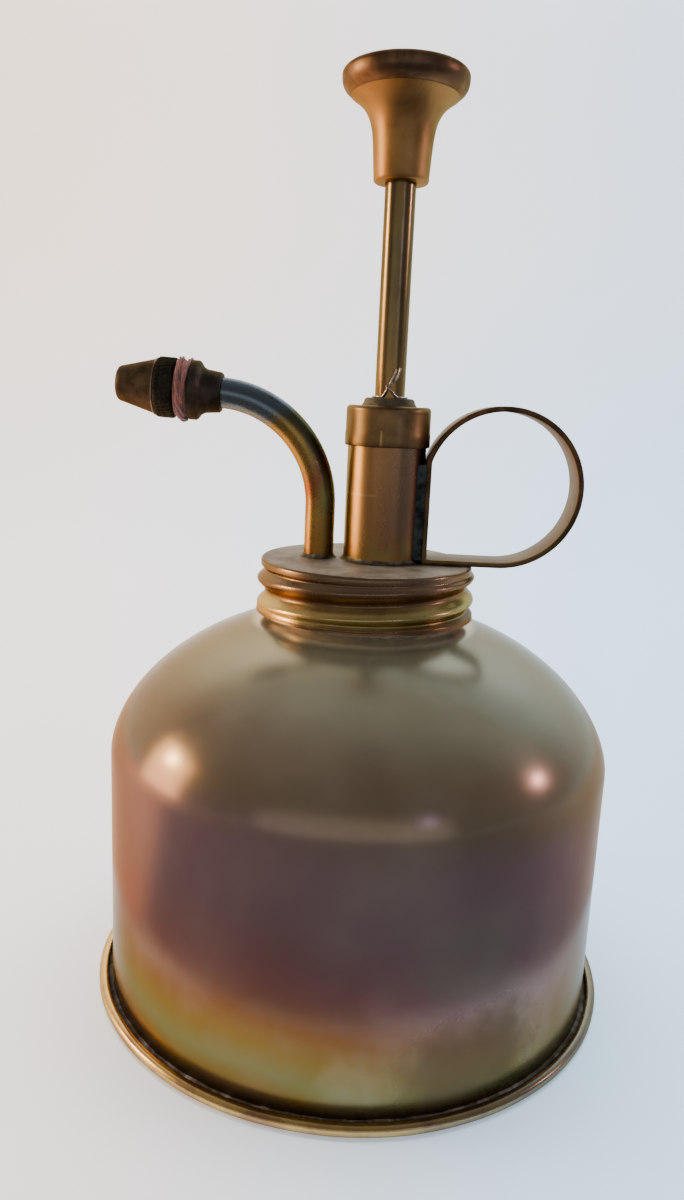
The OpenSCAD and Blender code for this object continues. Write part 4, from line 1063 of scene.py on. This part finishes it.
class MISTER_OT_nozzle(bpy.types.Operator):
    """Turn the screw nozzle with its knurled band and spray hole"""

    bl_idname = "mister.nozzle"
    bl_label = "Nozzle"
    bl_options = {"REGISTER", "UNDO"}

    def execute(self, context):
        s = sizes()
        band_r = 5.1 * MM
        band_s, tip_s, end_s = 7.75 * MM, 10.95 * MM, 17.9 * MM
        face_r = 2.8 * MM
        bore, hole = 3.7 * MM, 0.35 * MM
        bm = bmesh.new()
        outline = [(bore, band_s), (band_r - 0.5 * MM, band_s),
                   (band_r - 0.12 * MM, band_s + 0.2 * MM),
                   (band_r, band_s + 0.45 * MM)]
        outline += [(band_r, band_s + (0.45 + 0.3 * i) * MM) for i in range(1, 9)]
        outline += [(band_r - 0.08 * MM, tip_s - 0.12 * MM), (band_r - 0.36 * MM, tip_s),
                    (band_r - 0.42 * MM, tip_s + 0.08 * MM), (band_r - 0.28 * MM, tip_s + 0.2 * MM),
                    (band_r - 0.3 * MM, tip_s + 0.36 * MM), (band_r - 0.5 * MM, tip_s + 0.5 * MM)]
        outline += [(band_r - 0.5 * MM - (band_r - 0.65 * MM - face_r) * i / 12,
                     tip_s + 0.5 * MM + (end_s - 0.5 * MM - tip_s - 0.5 * MM) * i / 12)
                     for i in range(1, 13)]
        outline += [(face_r - 0.05 * MM, end_s - 0.2 * MM), (face_r - 0.4 * MM, end_s),
                    (hole + 0.8 * MM, end_s), (hole, end_s - 0.6 * MM), (hole, end_s - 1.6 * MM),
                    (1.9 * MM, end_s - 1.6 * MM), (1.9 * MM, 11.15 * MM), (bore, 11.15 * MM)]
        steps = s.knurl_ribs * 4
        turned(bm, outline, MOUTH, NOZZLE_AXIS, Y, steps, closed=True)
        up = NOZZLE_AXIS.cross(Y).normalized()
        for vert in bm.verts:
            away = vert.co - MOUTH
            along = away.dot(NOZZLE_AXIS)
            out = away - NOZZLE_AXIS * along
            if band_s + 0.15 * MM < along < tip_s - 0.1 * MM and out.length > band_r - 0.3 * MM:
                turn = math.atan2(out.dot(up), out.dot(Y))
                depth = 0.1 * MM * (1 + math.cos(turn * s.knurl_ribs + along / MM * 2.2))
                vert.co -= out.normalized() * depth
        tip = blackened("smoked tip", (0.125, 0.098, 0.066), (0.05, 0.038, 0.028), 5200, 0.4)
        band = blackened("black knurl", (0.07, 0.068, 0.052), (0.022, 0.021, 0.018), 1500, 0.5, 0.5)
        edge = plain_metal("bright collar edge", (0.40, 0.37, 0.31), (0.20, 0.17, 0.12), 0.3, 600)
        for face in bm.faces:
            away = face.calc_center_median() - MOUTH
            along = away.dot(NOZZLE_AXIS)
            radius = (away - NOZZLE_AXIS * along).length
            if along < tip_s - 0.05 * MM:
                face.material_index = 1
            elif along < tip_s + 0.42 * MM and radius > band_r - 0.48 * MM:
                face.material_index = 2
        piece(bm, "screw_nozzle", "nozzle", "black_brass", [tip, band, edge], "nozzle_cap",
              crease=30)
        return {"FINISHED"}


class MISTER_OT_plunger(bpy.types.Operator):
    """Turn the plunger rod, the trumpet stem and the thumb disc"""

    bl_idname = "mister.plunger"
    bl_label = "Plunger"
    bl_options = {"REGISTER", "UNDO"}

    def execute(self, context):
        at = Vector((PUMP_X, 0, 0))
        tail = 0.9 * MM
        shoulder = BARREL_HI.z - 3 * MM
        bm = bmesh.new()
        turned(bm, [(0, ROD_LO.z), (ROD_R - tail, ROD_LO.z), (ROD_R - tail, shoulder),
                    (ROD_R, shoulder)]
               + [(ROD_R, shoulder + (ROD_HI.z - shoulder) * i / 20) for i in range(1, 21)]
               + [(0, ROD_HI.z)], at, steps=72)
        piece(bm, "polished_rod", "plunger", "rod_brass", [worn_rod()], "plunger_rod")

        flare_r = KNOB_R - 1.5 * MM
        foot = 4.5 * MM
        tall = STEM_HI.z - STEM_LO.z
        bore = ROD_R + FIT
        bore_top = STEM_LO.z + 6 * MM
        outline = [(bore, STEM_LO.z), (foot - 0.55 * MM, STEM_LO.z),
                   (foot - 0.15 * MM, STEM_LO.z + 0.08 * MM)]
        for i in range(33):
            u = i / 32
            outline.append((foot + 0.18 * foot * u + (flare_r - 1.18 * foot) * u ** 6,
                            STEM_LO.z + 0.3 * MM + (tall - 0.3 * MM) * u))
        outline += [(0, STEM_HI.z), (0, bore_top), (bore, bore_top)]
        bm = bmesh.new()
        turned(bm, outline, at, steps=112, closed=True)
        piece(bm, "trumpet_stem", "plunger", "knob_brass", [handled_trumpet()], "knob_stem",
              crease=50)

        low, top = DISC_LO.z, DISC_HI.z
        edge = top - 1.4 * MM
        outline = [(0, low), (flare_r - 0.15 * MM, low), (flare_r + 0.05 * MM, low + 0.06 * MM),
                   (KNOB_R - 0.5 * MM, low + 0.9 * MM), (KNOB_R - 0.2 * MM, low + 1.4 * MM),
                   (KNOB_R - 0.05 * MM, low + 2.0 * MM)]
        for i in range(9):
            a = math.radians(90 * i / 8)
            outline.append((KNOB_R - 1.3 * MM * (1 - math.cos(a)), edge + 1.1 * MM * math.sin(a)))
        outline += [(KNOB_R - 3 * MM, top - 0.22 * MM), (KNOB_R / 2, top - 0.08 * MM), (0, top)]
        bm = bmesh.new()
        turned(bm, outline, at, steps=128)
        dark = satin_bronze("dark disc", (0.27, 0.165, 0.09), (0.12, 0.075, 0.045), 170, 0.3, 0.25)
        piece(bm, "thumb_disc", "plunger", "disc_brass", [dark], "knob_disc", crease=40)
        return {"FINISHED"}


def paint(node, finish):
    """Gives a CAD node a finish in place of its packed one."""
    slots = FRAME["nodes"][node].data.materials
    slots.clear()
    slots.append(finish)


class MISTER_OT_inside(bpy.types.Operator):
    """Finish the pieces inside the bottle, the pump and the nozzle"""

    bl_idname = "mister.inside"
    bl_label = "Inside pieces"
    bl_options = {"REGISTER", "UNDO"}

    def execute(self, context):
        brass = satin_bronze("machined brass", (0.62, 0.46, 0.20), (0.42, 0.29, 0.13), 160, 0.24)
        steel = plain_metal("polished steel", (0.62, 0.62, 0.63), (0.40, 0.40, 0.42), 0.16)
        leather = soft_stuff("oiled leather", (0.17, 0.085, 0.04), (0.06, 0.03, 0.017), 900, 0.6)
        rubber = soft_stuff("matte gasket", (0.05, 0.043, 0.038), (0.025, 0.022, 0.02), 700, 0.7,
                            0.05)
        felt = soft_stuff("greased felt", (0.42, 0.36, 0.24), (0.22, 0.18, 0.11), 1500, 0.85)
        for node in ("swirl_core", "piston_plate", "piston_nut", "spring_seat", "valve_block",
                     "inlet_pin", "outlet_pin", "dip_tube", "strainer"):
            paint(node, brass)
        for node in ("return_spring", "inlet_ball", "outlet_ball"):
            paint(node, steel)
        for node in ("lid_gasket", "nozzle_washer"):
            paint(node, rubber)
        paint("cup_leather", leather)
        paint("gland_packing", felt)
        return {"FINISHED"}


class MISTER_OT_stage(bpy.types.Operator):
    """Lay the pale sweep, hang the soft lights and place the camera"""

    bl_idname = "mister.stage"
    bl_label = "Stage"
    bl_options = {"REGISTER", "UNDO"}

    def execute(self, context):
        self.sweep()
        self.dark_card()
        self.world()
        warm = (1.0, 0.70, 0.42)
        middle = Vector((0, 0, 0.05))
        self.lamp("left softbox", middle, (-0.954, 0.003, 0.301), 0.62, 0.05, 0.05, 0.8, warm)
        self.lamp("left glow", middle, (-0.97, 0.0, 0.13), 0.75, 0.30, 0.42, 3.6, (1.0, 0.58, 0.28))
        self.lamp("right softbox", middle, (0.948, -0.021, 0.317), 0.80, 0.05, 0.05, 0.6,
                  (1.0, 0.56, 0.64))
        self.lamp("ceiling", middle, (0.0, 0.2, 0.98), 1.4, 1.2, 1.2, 14.0, (0.92, 0.96, 1.0),
                  False)
        self.lamp("backdrop lamp", Vector((0, 0.75, 0.3)), (0.0, -0.55, 0.83), 1.1, 1.4, 0.5, 18.0,
                  (1.0, 1.0, 1.0), False)
        self.lamp("front fill", middle, (0.0, -1.0, 0.13), 0.9, 1.5, 0.36, 0.8, (1.0, 0.95, 0.90))
        self.lamp("front strip", middle, (0.49, -0.80, 0.25), 0.9, 0.02, 0.05, 0.10,
                  (0.45, 0.36, 1.0))
        self.camera()
        return {"FINISHED"}

    @staticmethod
    def sweep():
        """A floor that curves up into the wall behind."""
        bm = bmesh.new()
        front, back, bend, top, half_width = -1.6, 0.4, 0.45, 2.4, 2.4
        profile = [(front, 0.0), (back, 0.0)]
        profile += arc((back, bend), bend, 270, 360, 15)[1:]
        profile += [(back + bend, top)]
        verts = [bm.verts.new((-half_width, y, z - FIT)) for y, z in profile]
        edges = [bm.edges.new(pair) for pair in zip(verts, verts[1:])]
        made = bmesh.ops.extrude_edge_only(bm, edges=edges)["geom"]
        bmesh.ops.translate(bm, vec=(2 * half_width, 0, 0),
                            verts=[g for g in made if isinstance(g, bmesh.types.BMVert)])
        for face in bm.faces:
            face.smooth = True
        f = Finish("pale sweep", 0.0)
        # Painted light: towards the left and right of the view, the wall and floor are tinted warm
        # on the left and cool blue on the right for the warm left lamp and the cool light from the
        # right, and the emission makes this tint glow.
        depth = f.math("MAXIMUM", f.math("ADD", f.y, 0.16), 0.03)
        side = f.span(f.math("DIVIDE", f.x, depth), -0.4, 0.4)
        wall = f.mix(side, (1.0, 0.84, 0.70), (0.70, 0.80, 0.92))
        floor = f.mix(side, (0.86, 0.84, 0.83), (0.54, 0.78, 1.0))
        tint = f.mix(f.span(f.z, 0.0, 0.3), floor, wall)
        tint = f.mix(f.span(f.noise(2.0, 2), 0.3, 0.7, 0.0, 0.06), tint, (0.7, 0.7, 0.72))
        f.tree.links.new(tint, f.shader.inputs["Emission Color"])
        f.shader.inputs["Emission Strength"].default_value = 0.55
        obj = linked(bm, "pale_sweep", [f.done(tint, 0.75)])

    @staticmethod
    def world():
        """Soft room: paler behind and above, darker in front."""
        world = bpy.data.worlds.new("soft room")
        bpy.context.scene.world = world
        world.use_nodes = True
        tree = world.node_tree
        place = tree.nodes.new("ShaderNodeTexCoord")
        parts = tree.nodes.new("ShaderNodeSeparateXYZ")
        ramp = tree.nodes.new("ShaderNodeValToRGB")
        shift = tree.nodes.new("ShaderNodeMapRange")
        shift.inputs["From Min"].default_value = -1.0
        ground = tree.nodes["Background"]
        tree.links.new(place.outputs["Generated"], parts.inputs[0])
        tree.links.new(parts.outputs["Y"], shift.inputs["Value"])
        tree.links.new(shift.outputs[0], ramp.inputs["Fac"])
        ramp.color_ramp.elements[0].color = (0.12, 0.112, 0.105, 1)
        ramp.color_ramp.elements[1].color = (0.80, 0.80, 0.82, 1)
        ramp.color_ramp.elements.new(0.42).color = (0.26, 0.25, 0.245, 1)
        tree.links.new(ramp.outputs[0], ground.inputs["Color"])
        ground.inputs["Strength"].default_value = 1.0

    @staticmethod
    def lamp(name, middle, direction, distance, width, height, power, tint, mirrored=True):
        data = bpy.data.lights.new(name, "AREA")
        data.shape, data.size, data.size_y = "RECTANGLE", width, height
        data.energy, data.color = power, tint
        obj = bpy.data.objects.new(name, data)
        aim = Vector(direction).normalized()
        obj.location = middle + aim * distance
        obj.rotation_euler = aim.to_track_quat("Z", "Y").to_euler()
        obj.visible_glossy = mirrored
        bpy.context.scene.collection.objects.link(obj)

    @staticmethod
    def dark_card():
        """A card round the object that only reflections see, dark in front and warm on the left."""
        bm = bmesh.new()
        inner, outer, lift = 66 * MM, 1300 * MM, 0.6 * MM
        turned(bm, [(inner, lift), (outer, lift)], steps=96)
        f = Finish("dark card", 0.0)
        flat = f.add("ShaderNodeCombineXYZ", {0: f.x, 1: f.y}).outputs[0]
        aside = f.add("ShaderNodeSeparateXYZ", {
            0: f.add("ShaderNodeVectorMath", {0: flat},
                     operation="NORMALIZE").outputs[0]}).outputs[1]
        tint = f.ramp(f.span(aside, -1.0, 0.6), [
            (0.0, (0.075, 0.066, 0.066)), (0.3, (0.10, 0.088, 0.088)), (0.62, (0.26, 0.24, 0.24)),
            (1.0, (0.55, 0.53, 0.52))])
        warm_side = f.math("MULTIPLY", f.span(aside, -0.34, -0.02), f.span(f.x, 0.0, -0.05))
        tint = f.mix(warm_side, tint, (0.95, 0.58, 0.34))
        obj = linked(bm, "dark_card", [f.done(tint, 0.9)])
        obj.visible_camera = obj.visible_diffuse = obj.visible_shadow = False

    @staticmethod
    def camera():
        data = bpy.data.cameras.new("view")
        data.sensor_width = 36.0
        data.lens = 27.38
        data.clip_start, data.clip_end = 0.005, 20.0
        obj = bpy.data.objects.new("view", data)
        eye = Vector((0, -0.159009, 0.104077))
        heading, pitch, roll = 0.025, 0.211, 0.044
        turn = Euler((math.pi / 2 - pitch, 0, heading)).to_matrix() @ Matrix.Rotation(roll, 3, "Z")
        obj.matrix_world = Matrix.Translation(eye) @ turn.to_4x4()
        bpy.context.scene.collection.objects.link(obj)
        bpy.context.scene.camera = obj


OPERATORS = (MISTER_OT_bottle, MISTER_OT_base, MISTER_OT_lid, MISTER_OT_pump, MISTER_OT_ring,
             MISTER_OT_spout, MISTER_OT_nozzle, MISTER_OT_plunger, MISTER_OT_inside,
             MISTER_OT_stage)


class MISTER_PT_panel(bpy.types.Panel):
    """Lists the mister's pieces, sizes and colours"""

    bl_idname = "MISTER_PT_panel"
    bl_label = "Brass Mister"
    bl_space_type = "VIEW_3D"
    bl_region_type = "UI"
    bl_category = "Mister"

    def draw(self, context):
        for operator in OPERATORS:
            self.layout.operator(operator.bl_idname)
        for group in (context.scene.mister_sizes, context.scene.mister_colours):
            box = self.layout.box()
            for key in group.__annotations__:
                box.prop(group, key)


CLASSES = (MisterSizes, MisterColours, *OPERATORS, MISTER_PT_panel)


def register():
    for cls in CLASSES:
        bpy.utils.register_class(cls)
    bpy.types.Scene.mister_sizes = bpy.props.PointerProperty(type=MisterSizes)
    bpy.types.Scene.mister_colours = bpy.props.PointerProperty(type=MisterColours)


def unregister():
    del bpy.types.Scene.mister_colours
    del bpy.types.Scene.mister_sizes
    for cls in reversed(CLASSES):
        bpy.utils.unregister_class(cls)


def main():
    register()
    bpy.ops.mister.bottle()
    bpy.ops.mister.base()
    bpy.ops.mister.lid()
    bpy.ops.mister.pump()
    bpy.ops.mister.ring()
    bpy.ops.mister.spout()
    bpy.ops.mister.nozzle()
    bpy.ops.mister.plunger()
    bpy.ops.mister.inside()
    bpy.ops.mister.stage()


if __name__ == "__main__":
    main()
